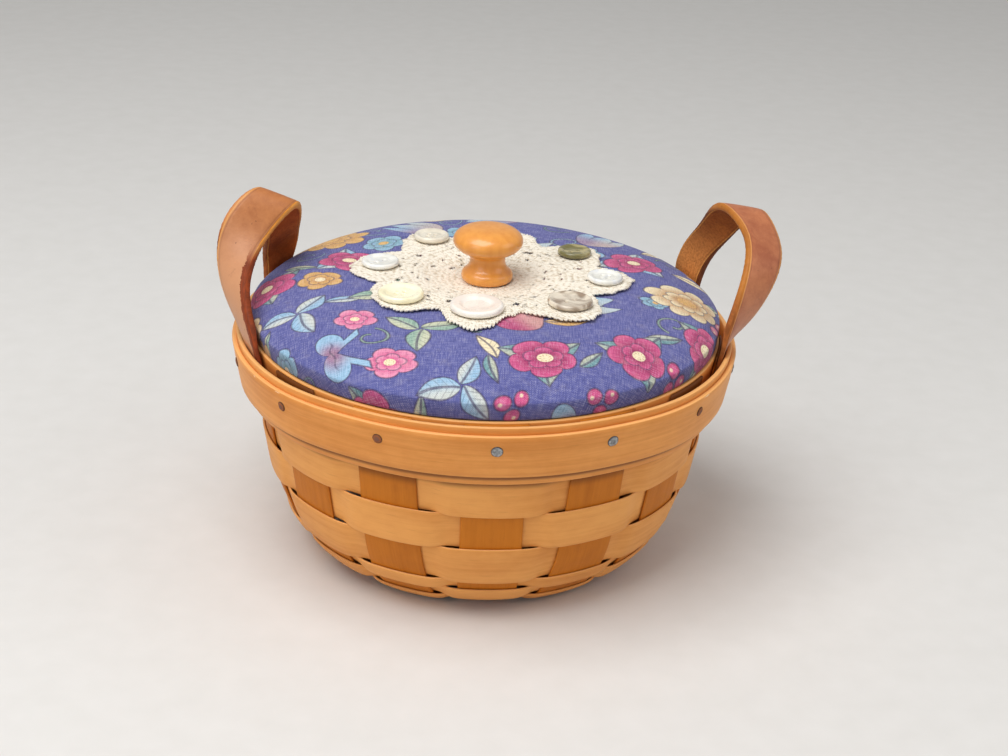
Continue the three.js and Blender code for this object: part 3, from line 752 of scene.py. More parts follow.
def leather(name, light, dark, grain, sheen_rough, zones=(), shift=None, nap=0.0, rub=0.7, far=None):
    """Mottled hide with a fine pebble, faint creases and a crease line beside each edge.

    A zone gives, along the strap, where a ragged band of another tone lies beside one edge, how
    far in, and its tone; the dark bands are painted shade, on the left strap over torn leather.
    shift changes the tone along the strap, on the left face as a painted sheen, and far colours
    the far edge. nap makes a rough inner side, and rub is how strongly the edges show the colour
    of the cut."""
    fixed = {"Specular_IOR_Level": 0.2} if nap else {"Specular_IOR_Level": 0.32, "Coat_Weight": 0.1}
    finish = Finish(name, Coat_Roughness=0.4, **fixed)
    place = finish.place()
    along, across, _ = parts(finish.lay())
    mottle = noise(place, 48.0, 5.0, 0.65)
    pebble = wired("TexVoronoi", None, {"Vector": place, "Scale": grain})
    crease = noise(place, 240.0, 5.0, 0.65, 0.6)
    colour = mix(step(mottle * 0.7 + crease * 0.3, 0.3, 0.7), light, dark)
    deep = times(dark, 0.4)
    if shift:
        start, full, tone = shift
        colour = mix(step(along + mottle * 0.02, start, full) * 0.8, colour, tone)
    line = step((across.size() - EDGE_LINE).size(), 0.0005, 0.0001)
    worn = step(noise(place, 130.0, 4.0, 0.7), 0.6, 0.72)
    colour = mix(line * 0.2 + worn * 0.2, colour, deep)
    scuff = step(noise(scaled(place, (1, 1, 3)), 300.0, 3.0, 0.7), 0.66, 0.76)
    colour = mix(scuff * 0.3, colour, times(light, 1.6))
    rubbed = step(across.size() + crease * 0.0014, 0.0099, 0.0107)
    colour = mix(rubbed * rub, colour, CUT_EDGE)
    if far:
        colour = mix(step(across + crease * 0.001, 0.0104, 0.0112) * 0.85, colour, far)
    spots = step(noise(place, 420.0, 2.0), 0.72, 0.77)
    colour = mix(spots * 0.6, colour, deep)
    height = pebble * 0.4 + crease - line * 0.8
    if nap:
        fluff = noise(place, 760.0, 4.0, 0.75)
        colour = mix(step(fluff, 0.38, 0.66) * nap, colour, deep)
        height = height + fluff
    rough = sheen_rough + 0.2 * mottle
    # Each zone paints a ragged band beside an edge; the dark ones are painted shade, on the left strap over
    # torn fibres.
    for start, full, fade, end, reach, ragged, tone in zones:
        rag = noise(join(along * 420.0, across * 60.0), 1.0, 3.0, 0.7)
        there = step(along, start, full) * step(along, end, fade)
        edge = step(across + (rag - 0.5) * ragged, reach, reach - 0.0003) * there
        fibre = noise(join(along * 160.0, across * 1500.0), 1.0, 3.0, 0.7)
        colour = mix(edge, colour, mix(step(fibre, 0.35, 0.7), tone, times(tone, 1.9)))
        height = height - edge * 2.0 + fibre * edge
        rough = rough + edge * 0.25
    return finish.done(colour, rough, height, 0.00025, 0.5)


UMBER = tint(108, 42, 8)
# The dark zones are painted shade; on the left strap they lie over torn leather.
TORN_AND_SHADED_FACE = [(0.010, 0.016, 0.072, 0.086, -0.0072, 0.004, UMBER),
             (0.082, 0.088, 0.13, 0.14, -0.0094, 0.0, tint(196, 124, 44))]
TORN_AND_SHADED_EDGE = [(0.010, 0.016, 0.076, 0.09, 0.02, 0.0, UMBER),
             (0.13, 0.15, 0.3, 0.31, 0.02, 0.0, tint(120, 62, 22))]
RIGHT_EDGE = [(0.010, 0.016, 0.04, 0.062, 0.02, 0.0, tint(138, 78, 32)),
              (0.118, 0.134, 0.3, 0.31, 0.02, 0.0, tint(96, 48, 18))]
STRAP_FINISHES = {
    # The left face's shift is a painted sheen: paler and pinker on the front leg.
    "left": [leather("left_face", tint(190, 122, 70), tint(156, 88, 44), 900.0, 0.36, TORN_AND_SHADED_FACE,
                     (0.115, 0.075, tint(202, 147, 108))),
             leather("left_edge", tint(216, 148, 68), tint(178, 108, 40), 1300.0, 0.5, TORN_AND_SHADED_EDGE,
                     rub=0.2, far=tint(192, 124, 74)),
             leather("left_back", tint(196, 104, 46), tint(146, 66, 26), 1100.0, 0.66, nap=0.3)],
    "right": [leather("right_face", tint(196, 124, 82), tint(160, 88, 56), 900.0, 0.36),
              leather("right_edge", tint(190, 114, 26), tint(152, 84, 14), 1300.0, 0.5, RIGHT_EDGE, rub=0.1),
              leather("right_back", tint(172, 98, 42), tint(124, 60, 22), 1100.0, 0.66,
                      shift=(0.135, 0.19, tint(214, 140, 74)), nap=0.4)],
}

# %% [markdown]
# ### The two paths
# Each mark on an edge is its distance outside the wall, its angle round the basket and its
# height above the rim, read from the picture and placed in depth so that the strap keeps its
# width.

# %% Strap sizes and marks
STRAP_WIDTH = 22.5
STRAP_END = 2.3
STRAP_LOOP = 4.0
STRAP_ROOT = 121.25
STRAP_DEPTHS = np.array([-22.0, -13.0, -4.0])
STRAPS = {
    "left": {
        "root": (-67.6, -112.5),
        "inner": [[3.2, -69.5, 19.7], [-3.5, -82.8, 33.7], [-10.5, -90.1, 42.7], [-21.6, -96.1, 54.6],
                  [-11.7, -112.6, 36.1], [-0.9, -119.6, 19.3]],
        "outer": [[8.3, -79.1, 12.7], [15.7, -88.1, 33.3], [10.3, -90.7, 53.5], [-2.0, -97.3, 62.6],
                  [-2.1, -102.2, 36.4], [6.8, -110.2, 11.7]],
    },
    "right": {
        "root": (79.0, 118.0),
        "inner": [[5.5, 73.5, 18.5], [9.2, 81.3, 47.6], [7.2, 87.6, 56.0], [-0.9, 98.8, 61.6],
                  [3.1, 114.9, 39.5], [4.7, 122.2, 19.3]],
        "outer": [[11.1, 82.7, 11.1], [26.6, 86.7, 42.2], [26.0, 92.2, 50.8], [21.3, 96.7, 58.9],
                  [13.4, 106.0, 40.5], [6.4, 112.0, 17.9]],
    },
}


# %% Straps
def strap_edges(side):
    """Lengths along the strap's middle at equal steps, and the two edge lines there."""
    data = STRAPS[side]
    front, back = (math.radians(v) for v in data["root"])
    half = math.copysign(STRAP_WIDTH / 2 / STRAP_ROOT, front)
    edges = []
    for key, way in (("inner", -1), ("outer", 1)):
        out, degrees, up = np.array(data[key]).T
        knots = around(WALL_RADIUS + out, np.radians(degrees), RIM_TOP + up)
        start = around(STRAP_ROOT + FLARE * STRAP_DEPTHS, front + way * half, RIM_TOP + STRAP_DEPTHS)
        end = around(STRAP_ROOT + FLARE * STRAP_DEPTHS, back - way * half, RIM_TOP + STRAP_DEPTHS)[::-1]
        line = smooth_curve(np.vstack([start, knots, end]), 400)
        edges.append(np.stack([calm(part, 5, 14, mode="reflect", reflect_type="odd") for part in line.T], -1))
    along = travel(sum(edges) / 2)
    even = np.linspace(0, along[-1], 150)
    inner, outer = (np.stack([np.interp(even, along, part) for part in edge.T], -1) for edge in edges)
    return even, inner, outer


def strap(side):
    """Rows run from the front end over the loop to the back end; columns go round the section."""
    even, inner, outer = strap_edges(side)
    middle = (inner + outer) / 2
    wide = outer - inner
    through = np.cross(np.gradient(middle, axis=0), wide)
    through /= np.linalg.norm(through, axis=1)[:, None]
    if (through[4] * middle[4])[:2].sum() < 0:  # the tan face looks away from the axis
        through = -through
    lift = ease((middle[:, 2] - RIM_TOP - 1) / 12)
    thickness = STRAP_END + (STRAP_LOOP - STRAP_END) * lift
    across, depth = strip_outline(9, 0.09)
    crown = 0.3 * (1 - across ** 2) * (depth > 0.9)
    bevel = -0.35 * ease((np.abs(across) - 0.84) / 0.16) * np.sign(depth) * (np.abs(depth) > 0.5)
    rough = 0.12 * np.sin(even * 1.9) * np.sin(even * 0.37 + 1) + 0.1 * np.sin(even * 4.3)
    ragged = (np.abs(across) > 0.97)[None, :] * rough[:, None] * lift[:, None]
    deep = (depth / 2)[None, :] * thickness[:, None] + (crown + bevel - 1.0)[None, :] * lift[:, None]
    points = (middle[:, None] + wide[:, None] * (across[None, :, None] / 2) * (1 + ragged[..., None] / 11)
              + through[:, None] * deep[..., None])
    lay = np.stack([even[:, None] + 0 * across, across * STRAP_WIDTH / 2 + 0 * even[:, None]], -1) / 1000
    piece = surface(f"{side}_ear_strap", points, lay, wrap_columns=True, caps=True)
    for finish in STRAP_FINISHES[side]:
        piece.data.materials.append(finish.material)
    round_section = [0] * 8 + [1] * 5 + [2] * 8 + [1] * 5  # face, edge, back and edge again
    caps = [1, 1]
    piece.data.polygons.foreach_set("material_index", round_section * (len(even) - 1) + caps)
    print(side, "strap length", round(float(even[-1])), "mm")
    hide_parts(f"{side}_ear", f"{side}_strap_front_end", f"{side}_strap_back_end")
    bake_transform(piece)


for side in STRAPS:
    strap(side)

# %% [markdown]
# ## The lid's form
# The cover is stretched over padding: an even low dome that falls away towards the edge as
# a high power of the radius, with a dimple where the knob is screwed down. A few faint
# waves show where the cloth pulls.

# %% Lid form
LID_RADIUS = 118.0
LID_BOTTOM = 117.6
LID_EDGE = 127.5
LID_HOLE = 2.6
DOME_RISE = 14.1
DIMPLE = 3.0
CLOTH = 1.1
PAD_DEPTH = 1.75
BOARD_TOP = 122.4


def dome(radius):
    """Height of the cover's outer face."""
    dip = DIMPLE * (1 - ease((radius - 16) / 26))
    return LID_EDGE + DOME_RISE * (1 - (radius / LID_RADIUS) ** 6.25) - dip


def cover_profile():
    """Radius and height from the knob's hole over the dome, round the edge, down the side and under."""
    top_r = np.concatenate([np.linspace(LID_HOLE, 100, 46), np.linspace(102, 108, 4)])
    top = np.stack([top_r, dome(top_r)], -1)
    marks = np.array([[108.0, dome(108.0)], [110.9, dome(110.9)], [113.4, 130.3], [115.5, 128.5],
                      [117.2, 126.95], [117.86, 126.2], [118.0, 125.4], [118.0, 124.0]])
    shoulder = smooth_curve(marks, 22)[1:]
    side = np.stack([np.linspace(117.95, 117.2, 6), np.linspace(LID_EDGE - 4.4, LID_BOTTOM + 0.9, 6)], -1)
    hem = np.array([[116.9, LID_BOTTOM + 0.3], [116.3, LID_BOTTOM], [111.0, LID_BOTTOM], [105.2, LID_BOTTOM]])
    return np.vstack([top, shoulder, side, hem])


def shell(profile, thickness):
    """The profile and, at a thickness inside it, the same line back: one closed outline."""
    slope = np.gradient(profile, axis=0)
    slope /= np.hypot(*slope.T)[:, None]
    inside = profile + thickness * np.stack([slope[:, 1], -slope[:, 0]], -1)
    return np.vstack([profile, inside[::-1]])


# %% [markdown]
# ## Printed cloth
# The cover is a cotton print: flowers, leaf sprays, bows and berries in rose, teal, sky,
# cream and gold, drawn with a darker line on a violet-blue ground. Two Voronoi patterns
# scatter them: large motifs near the middles of a bent lattice and small ones near its
# corners. The shader knows how far each point lies from its motif's centre and in what
# direction, and a rule in these two draws the petal, the leaf or the berry.

# %% Print tones
GROUND, GROUND_DARK, INK = tint(102, 106, 168), tint(82, 85, 146), tint(62, 52, 84)
ROSE, PINK, WINE = tint(212, 88, 138), tint(234, 148, 178), tint(156, 48, 92)
TEAL, SAGE, SKY = tint(112, 158, 162), tint(150, 182, 162), tint(152, 190, 218)
CREAM, GOLD, TAN = tint(244, 228, 188), tint(224, 178, 104), tint(198, 146, 88)


# %% Scattering
def scatter(place, shift, jitter, size=0.046, turn=0.42):
    """Cells of about a size in metres: offset from each cell's own point, and three random numbers."""
    c, s = math.cos(turn) / size, math.sin(turn) / size
    x, y, _ = parts(place)
    grid = join(x * c + y * s + shift[0] + jitter / 2, y * c - x * s + shift[1] + jitter / 2)
    cell = {"Vector": grid, "Scale": 1.0, "Randomness": jitter}
    centre, chance = (wired("TexVoronoi", {"voronoi_dimensions": "2D"}, cell, output)
                      for output in ("Position", "Color"))
    x, y, _ = parts(wired("VectorMath", {"operation": "SUBTRACT"}, {0: grid, 1: centre}))
    chance = parts(chance)
    angle = chance[1] * 6.28
    c, s = angle.cos(), angle.sin()
    return x * c + y * s, y * c - x * s, chance


def pick(chance, tones):
    """One of the tones, in even shares of a random number."""
    stops = [(k / len(tones), tone) for k, tone in enumerate(tones)]
    return wired("ValToRGB", {"stops": stops}, {0: chance})


def folded(x, y, count):
    """The offset turned back into the first of so many equal sectors."""
    far, angle = polar(x, y)
    sector = 2 * math.pi / count
    local = angle - (angle / sector).math("ROUND") * sector
    return far * local.cos(), far * local.sin()


# %% Motifs
# Each gives a value that is negative inside the motif, and the paint there.
def blossom(x, y, chance, reach, petals, tones, hearts):
    """Two rounds of petals. Half the petals' angle gives a cosine whose size is the petal's bulge."""
    far, angle = polar(x, y)
    tone = pick(chance[2], tones)
    deep = pick(chance[2], hearts)
    edge = paint = None
    for share, spin in ((1.0, 0.0), (0.56, math.pi / 2)):
        bulge = (angle * (petals / 2) + spin).cos().size()
        rim = far - share * reach * (0.72 + 0.28 * bulge ** 0.6)
        petal = mix(step(far, 0.3 * share * reach, share * reach), deep, tone)
        petal = mix(step(bulge, 0.4, 0.0) * 0.55, petal, deep)
        if paint is None:
            edge, paint = rim, petal
        else:
            paint = mix(step(rim, 0.012, -0.004), paint, petal)
            paint = mix(step(rim.size(), 0.014, 0.004) * 0.6, paint, INK)
    paint = mix(step(far, 0.24 * reach, 0.2 * reach), paint, pick(chance[0], [CREAM, GOLD]))
    dots = step((angle * 9).cos() - (far - 0.15 * reach).size() * (22 / reach), 0.1, 0.5)
    return edge, mix(dots * 0.7, paint, TAN)


def tulip(x, y, chance, reach, tones):
    """A cup: an oval cut off by a zigzag lip, with lines where its petals overlap."""
    u, v = x / reach, y / reach
    oval = (u * u + v * v * 1.9) ** 0.5 - 0.95
    edge = oval.most(u - 0.42 - 0.2 * (v * 10.5).cos()) * reach
    tone = pick(chance[2], tones)
    paint = mix(step(u, -0.7, 0.4), mix(0.6, tone, WINE), tone)
    paint = mix(step(v + 0.1, 0.45, -0.2) * 0.35, paint, CREAM)
    fold = step((v * 10.5).cos(), -0.86, -0.98) * step(u, -0.5, 0.0)
    return edge, mix(fold * 0.6, paint, INK)


def leaf(x, y, chance, length, width, tones):
    """A bowed leaf with a midrib, slanted side veins and one lighter half."""
    bent = y - 0.45 * x * x
    along = x / (length / 2)
    edge = (bent.size() - width / 2 * (1 - along * along) * (1 - 0.25 * along)).most(x.size() - length / 2)
    tone = pick(chance[2], tones)
    paint = mix(step(bent, -0.3 * width, 0.35 * width), tone, mix(0.5, tone, CREAM))
    rib = step(bent.size(), 0.02, 0.008)
    veins = step((x * (36.8 / length) - bent.size() * 60).cos(), 0.7, 1.0) * 0.45
    return edge, mix(rib.most(veins) * 0.75, paint, INK)


def spray(x, y, chance, tones):
    """Three leaves round a point."""
    along, aside = folded(x, y, 3)
    return leaf(along - 0.23, aside, chance, 0.46, 0.24, tones)


def bow(x, y, chance, reach, tones):
    """Two loops, whose reach follows the cosine of the angle, over two slanted tails."""
    far, angle = polar(x, y)
    loops = far - reach * (0.14 + 0.86 * angle.cos().size() ** 1.4)
    slant = (x.size() * 0.75 + y * 0.66).size() - 0.045
    edge = loops.least(slant.most(y).most(-0.36 - y))
    tone = pick(chance[2], tones)
    paint = mix(step(far, 0.12 * reach, 0.8 * reach), mix(0.7, tone, WINE), tone)
    fold = step((y - 0.02 * (x * 30).sin()).size(), 0.02, 0.006) * step(far, 0.7 * reach, 0.4 * reach)
    return edge, mix(fold * 0.6, paint, INK)


def berries(x, y, chance, count, tones):
    """Round berries, each with a lit spot."""
    along, aside = folded(x, y, count)
    along = along - 0.115
    far, _ = polar(along, aside)
    tone = pick(chance[2], tones)
    paint = mix(step(far, 0.03, 0.1), tone, mix(0.5, tone, WINE))
    spot, _ = polar(along - 0.02, aside - 0.025)
    return far - 0.088, mix(step(spot, 0.03, 0.012) * 0.85, paint, CREAM)


def curl(x, y, chance, tones):
    """A spiral tendril: a line whose reach grows with its angle."""
    far, angle = polar(x, y)
    return (far - 0.115 - 0.022 * angle).size() - 0.014, pick(chance[2], tones)


# %% Printed finish
def printed_cloth(name):
    """The ground, then small and large motifs over it, each with its drawn line, then the weave."""
    finish = Finish(name, Sheen_Weight=0.1, Sheen_Roughness=0.5, Specular_IOR_Level=0.2)
    place = finish.lay()
    spread = noise(place, 22.0, 1.0, output="Color")
    bent = scaled(spread, (0.014, 0.014, 0), place)
    colour = mix(noise(place, 34.0, 4.0), GROUND, GROUND_DARK)
    filler = scatter(bent, (0.5, 0.0), 0.3)
    small = scatter(bent, (0.5, 0.5), 0.3)
    large = scatter(bent, (0.0, 0.0), 0.15)
    motifs = [  # where, from and to which chance, the rule, and its sizes and tones
        (filler, 0.0, 0.45, leaf, (0.4, 0.15, [TEAL, SKY, SAGE])),
        (filler, 0.45, 0.75, curl, ([TEAL, SAGE, SKY],)),
        (filler, 0.75, 1.01, blossom, (0.15, 5, [GOLD, SKY, PINK], [TAN, TEAL, ROSE])),
        (small, 0.0, 0.28, berries, (3, [ROSE, WINE, GOLD, PINK])),
        (small, 0.28, 0.58, blossom, (0.24, 5, [CREAM, PINK, SKY, GOLD], [GOLD, ROSE, TEAL, TAN])),
        (small, 0.58, 0.8, leaf, (0.54, 0.2, [SAGE, CREAM, TEAL, GOLD])),
        (small, 0.8, 1.01, curl, ([SKY, SAGE, TEAL],)),
        (large, 0.0, 0.5, spray, ([TEAL, SAGE, SKY],)),
        (large, 0.0, 0.36, blossom, (0.33, 5, [ROSE, PINK, CREAM, ROSE], [WINE, ROSE, GOLD, WINE])),
        (large, 0.5, 0.64, tulip, (0.44, [ROSE, PINK, SKY])),
        (large, 0.64, 0.76, bow, (0.36, [SKY, GOLD, CREAM])),
        (large, 0.76, 0.9, leaf, (0.88, 0.4, [SAGE, GOLD, CREAM, TEAL])),
        (large, 0.9, 1.01, blossom, (0.42, 8, [GOLD, CREAM, PINK], [TAN, TAN, ROSE])),
    ]
    for (x, y, chance), low, high, draw, extra in motifs:
        edge, paint = draw(x, y, chance, *extra)
        here = chance[0].above(low) * chance[0].below(high)
        colour = mix(step(edge, 0.006, -0.006) * here, colour, paint)
        colour = mix(step(edge.size(), 0.016, 0.005) * here * 0.7, colour, INK)
    wash = noise(place, 150.0, 4.0, 0.6)
    colour = mix(step(wash, 0.5, 0.75) * 0.08, colour, CREAM)
    x, y, _ = parts(place)
    far, _ = polar(x, y)
    # Painted shade on the cover's side, beyond the top's edge.
    colour = mix(step(far, 0.1208, 0.1222) * 0.3, colour, tint(46, 42, 88))
    thread = (x * 5600).sin() * (y * 5600).sin()
    slub = noise(place, 900.0, 2.0)
    warp, weft = (noise(scaled(place, run), 1.0, 2.0) for run in ((1900, 170, 1), (170, 1900, 1)))
    heather = warp * 0.5 + weft * 0.5
    colour = mix(step(heather + slub * 0.3, 0.62, 0.82) * 0.34, colour, tint(52, 46, 88))
    colour = mix(step(heather + thread * 0.1, 0.5, 0.34) * 0.26, colour, tint(220, 214, 232))
    return finish.done(colour, 0.8 + 0.12 * slub, thread * 0.6 + slub + heather, 0.0002, 0.7)


# %% [markdown]
# ## Padding under the cover
# Wadding fills the lid between the board and the cloth, so it takes the dome's line a little
# further in. It only shows its form, through the cloth that is stretched over it.


# %% Padding
def plain_cloth(name, light, dark, scale, depth):
    """Unprinted fibres: one fine noise gives the tone and a soft bump."""
    finish = Finish(name, Sheen_Weight=0.2, Specular_IOR_Level=0.2)
    fibre = noise(finish.place(), scale, 5.0, 0.7, 0.8)
    colour = mix(step(fibre, 0.3, 0.7), light, dark)
    return finish.done(colour, 0.85 + 0.1 * fibre, fibre, depth, 0.6)


ROUND = circle(240)
pad_r = np.concatenate([np.linspace(LID_HOLE, 100, 24), np.linspace(103, 110, 4)])
pad_edge = [[113.2, 127.6], [115.2, 125.2], [115.6, 123.6], [115.3, 122.8]]
pad_under = [[radius, BOARD_TOP] for radius in (114.6, 60, LID_HOLE)]
pad_line = np.vstack([np.stack([pad_r, dome(pad_r) - PAD_DEPTH], -1), pad_edge, pad_under])
pad_points = turned_points(pad_line, ROUND[:-1:3])
padding = surface("lid_padding_form", pad_points, wrap_rows=True, wrap_columns=True)
wadding = plain_cloth("wadding", tint(240, 236, 226), tint(222, 216, 202), 700.0, 0.0004)
settle(padding, wadding, "padding", "lid", "lid_padding")

# %% [markdown]
# ## Cover
# The cloth is carried round the lid's profile. Its map is the flat cloth: the distance from
# the centre over the dome and down the side, in the direction of the point, so the print runs
# over the edge unbroken as it does when cloth is pulled over a board.


# %% Cover
def cover():
    """The closed outline of the shell carried round Z, with slow waves on the side."""
    profile = cover_profile()
    outline = shell(profile, CLOTH)
    azimuth = ROUND[:-1]
    points = turned_points(outline, azimuth)
    reach = travel(profile) + LID_HOLE
    reach = np.concatenate([reach, reach[::-1]])
    edge = np.exp(-((outline[:, 0] - 117) / 5) ** 2) * (outline[:, 1] > LID_BOTTOM + 1)
    pull = 0.16 * np.sin(23 * azimuth + 1.0) + 0.12 * np.sin(37 * azimuth) + 0.1 * np.sin(9 * azimuth + 2)
    puff = np.exp(-((outline[:, 0] - 75) / 40) ** 2) * (outline[:, 1] > 127)
    points[..., 2] += (0.22 * np.sin(4 * azimuth + 0.8) + 0.14 * np.sin(7 * azimuth))[:, None] * puff[None, :]
    factor = 1 - (0.0018 * np.maximum(pull + 0.2, 0))[:, None] * edge[None, :]
    points[..., :2] *= factor[..., None]
    lay = np.stack([reach * np.sin(ROUND[:, None]), -reach * np.cos(ROUND[:, None])], -1) / 1000
    piece = surface("lid_cover_cloth", points, lay, wrap_rows=True, wrap_columns=True)
    settle(piece, printed_cloth("printed_cotton"), "cover_fabric", "lid", "lid_cover")


cover()

# %% [markdown]
# ## Doily
# Crochet is a net of looped thread. The doily is a thin sheet whose edge follows eight
# petals, fringed with small loops; broken rings of slits lie between rows of raised stitches,
# with a larger hole inside each valley, and the print shows through them.

# %% Doily outline
DOILY_CENTRE = (1.2, 1.5)
DOILY_HOLE = 10.5
DOILY_LIFT = 1.0
DOILY_THICK = 0.8
STITCH = 3.1
# angle from the front, and distance from the middle
DOILY_EDGE = [(-160, 50), (-151, 60), (-142, 67), (-134, 61.5), (-121, 50.5), (-110, 61), (-102, 66.8),
              (-91, 69), (-82, 66), (-73, 55.5), (-62, 63.5), (-49, 68.4), (-39, 67.5), (-32, 60),
              (-26, 51.5), (-15, 66), (-6, 73), (1, 68), (8, 56), (19, 50), (28, 61.5), (36, 70),
              (45, 72.5), (54, 66), (64, 54.5), (75, 65.5), (84, 70), (91, 71), (97, 68), (104, 55),
              (117, 62), (129, 67.5), (138, 58), (147, 46), (158, 58), (172, 67), (188, 60)]
DOILY_VALLEYS = [DOILY_EDGE[k] for k in (0, 4, 9, 14, 19, 24, 29, 33)]


def doily_reach(turn):
    """Distance from the doily's middle to its edge: marks read from the picture, joined and evened out."""
    marks = np.array(DOILY_EDGE)
    fine = circle(720)[:-1]
    edge = calm(np.interp(np.degrees(fine), marks[:, 0] % 360, marks[:, 1], period=360), 3.2, 8, mode="wrap")
    loops = 1.9 * np.abs(np.sin(112 * turn)) ** 0.7 * (1 + 0.4 * np.sin(37 * turn) + 0.2 * np.sin(61 * turn))
    return np.interp(turn, fine, edge, period=2 * math.pi) + loops


def doily_holes(turn, radius):
    """Where the net is open: short slits strewn in loose rings, and a larger hole inside each valley."""
    chance = np.random.default_rng(12)
    open_here = np.zeros(turn.shape, bool)
    for middle in np.arange(23.5, 48, 4):
        slots = round(middle * 0.62)
        for slot in range(slots):
            if chance.random() > (0.72 if middle > 28 else 0.45):
                continue
            spin = (slot + chance.uniform(-0.3, 0.3)) / slots * 2 * math.pi
            away = ((turn - spin + math.pi) % (2 * math.pi) - math.pi) * middle
            rise = radius - middle - chance.uniform(-1.5, 1.5) - chance.uniform(-0.35, 0.35) * away
            open_here |= np.hypot(away / chance.uniform(0.9, 2.4), rise / chance.uniform(0.55, 1.0)) < 1
    for valley, reach in DOILY_VALLEYS:
        away = (turn - math.radians(valley) + math.pi) % (2 * math.pi) - math.pi
        open_here |= np.abs(away * radius) / 2.4 + np.abs(radius - reach + 8.0) / 2.1 < 1
        for aside in (-11, 11):
            arc = (away - math.radians(aside)) * radius
            open_here |= np.hypot(arc / 1.1, (radius - reach + 3.5) / 0.8) < 1
    return open_here


# %% Doily
def doily():
    """Rows run round and columns from the middle out; faces over a hole go, then the sheet is thickened."""
    turn = circle(896)[:-1, None]
    share = (np.linspace(0, 1, 48) ** 0.85)[None, :]
    radius = DOILY_HOLE + (doily_reach(turn) - DOILY_HOLE) * share
    x = radius * np.sin(turn) + DOILY_CENTRE[0]
    y = -radius * np.cos(turn) + DOILY_CENTRE[1]
    row = np.round(radius / STITCH)
    posts = np.round(row * STITCH * 2 * math.pi / 2.3)
    knots = 0.05 * np.cos(radius / STITCH * 2 * math.pi) + 0.08 * np.cos(turn * posts + row)
    ruffle = 0.45 * ease((share - 0.75) / 0.25) * (1 + np.sin(14 * turn + 0.6) * np.sin(5 * turn))
    height = np.maximum(dome(np.hypot(x, y)), dome(12.0)) + DOILY_LIFT + knots + ruffle
    points = np.stack([x, y, height], -1)
    middle = (points[:, 1:] + points[:, :-1]) / 2 - [*DOILY_CENTRE, 0]
    middle = (middle + np.roll(middle, -1, 0)) / 2
    spin = np.arctan2(middle[..., 0], -middle[..., 1])
    kept = ~doily_holes(spin, np.hypot(middle[..., 0], middle[..., 1]))
    piece = surface("doily_crochet", points, wrap_rows=True, keep=kept)
    thick = piece.modifiers.new("thickness", "SOLIDIFY")
    thick.thickness = DOILY_THICK / 1000
    thick.offset = 0
    print("doily faces:", kept.sum(), "of", kept.size)
    return piece


def crochet_finish():
    """Ivory cotton: rows and posts of stitches by polar place, the twist of the thread, and painted shade in
    the grooves.
    """
    finish = Finish("crochet_cotton", Sheen_Weight=0.2, Specular_IOR_Level=0.15)
    place = finish.place()
    x, y, _ = parts(place)
    far, angle = polar(x - DOILY_CENTRE[0] / 1000, y - DOILY_CENTRE[1] / 1000)
    rows = (far * (2000 * math.pi / STITCH)).cos()
    row = (far / (STITCH / 1000)).math("ROUND")
    posts = (angle * (row * (2 * math.pi * STITCH / 1.6)).math("ROUND")).cos()
    loop = wired("TexVoronoi", None, {"Vector": place, "Scale": 560.0})
    twist = noise(place, 1300.0, 3.0, 0.7)
    patch = noise(place, 90.0, 3.0, 0.6)
    relief = rows * 0.12 + posts * 0.16 - loop * 1.3 + twist * 0.6
    # Painted shade in the grooves between loops, rows and posts.
    groove_shade = step(relief + patch * 0.4, 0.0, -0.9)
    colour = mix(groove_shade * 0.85, tint(243, 235, 219), tint(196, 178, 150))
    return finish.done(colour, 0.82 + 0.12 * twist, relief, 0.0005, 0.7)


doily_piece = doily()
settle(doily_piece, crochet_finish(), "doily_thread", "lid", "doily")

# %% [markdown]
# ## Knob
# The knob is turned from one piece of maple: a rounded foot, a waist and a mushroom cap, under
# glossy varnish. Its profile is a smooth curve through a few measured points.

# %% Knob's marks
KNOB_SIZE = (17.5, 28.0)
KNOB_BORE = (2.5, 13.5)
KNOB_FOOT = float(dome(10.0)) + 1.8
# radius and height, as shares of the knob's size
KNOB_MARKS = [[0.6, 0.0], [0.695, 0.015], [0.735, 0.06], [0.737, 0.115], [0.705, 0.165], [0.63, 0.21],
              [0.552, 0.27], [0.508, 0.35], [0.512, 0.43], [0.58, 0.5], [0.75, 0.555], [0.92, 0.63],
              [0.995, 0.72], [0.975, 0.81], [0.85, 0.9], [0.62, 0.965], [0.32, 0.993], [0.004, 1.0]]


# %% Knob
def knob_profile():
    """The screw's bore, then radius and height from the foot to the middle of the top."""
    line = smooth_curve(np.multiply(KNOB_MARKS, KNOB_SIZE), 110)
    line[:, 0] = np.maximum(line[:, 0], 0.02)
    bore, depth = KNOB_BORE
    return np.vstack([[[0.02, depth], [bore, depth], [bore, 0.0]], line]) + [0, KNOB_FOOT]


def knob_finish():
    """Varnished maple: rings cut lengthwise give long flames of darker grain."""
    finish = Finish("knob_varnish", Coat_Weight=0.7, Coat_Roughness=0.16, Specular_IOR_Level=0.45)
    place = finish.place()
    flame = noise(scaled(place, (300, 300, 26)), 1.0, 3.0, 0.5, 0.2)
    pore = noise(scaled(place, (1500, 1500, 120)), 1.0, 2.0)
    colour = mix(step(flame * 0.8 + pore * 0.2, 0.25, 0.8), tint(232, 156, 64), tint(220, 140, 50))
    return finish.done(colour, 0.36 + 0.14 * flame, pore, 0.00005, 0.3)


knob_piece = surface("knob_turning", turned_points(knob_profile(), circle(96)[:-1]), wrap_rows=True)
settle(knob_piece, knob_finish(), "knob_wood", "lid", "knob")

# %% [markdown]
# ## Buttons
# Each button is a disc with a rim, a dished middle and two or four holes; the one in front
# has none. A fine round grid carries a height that is the disc's profile less a sharp pit at
# every hole.

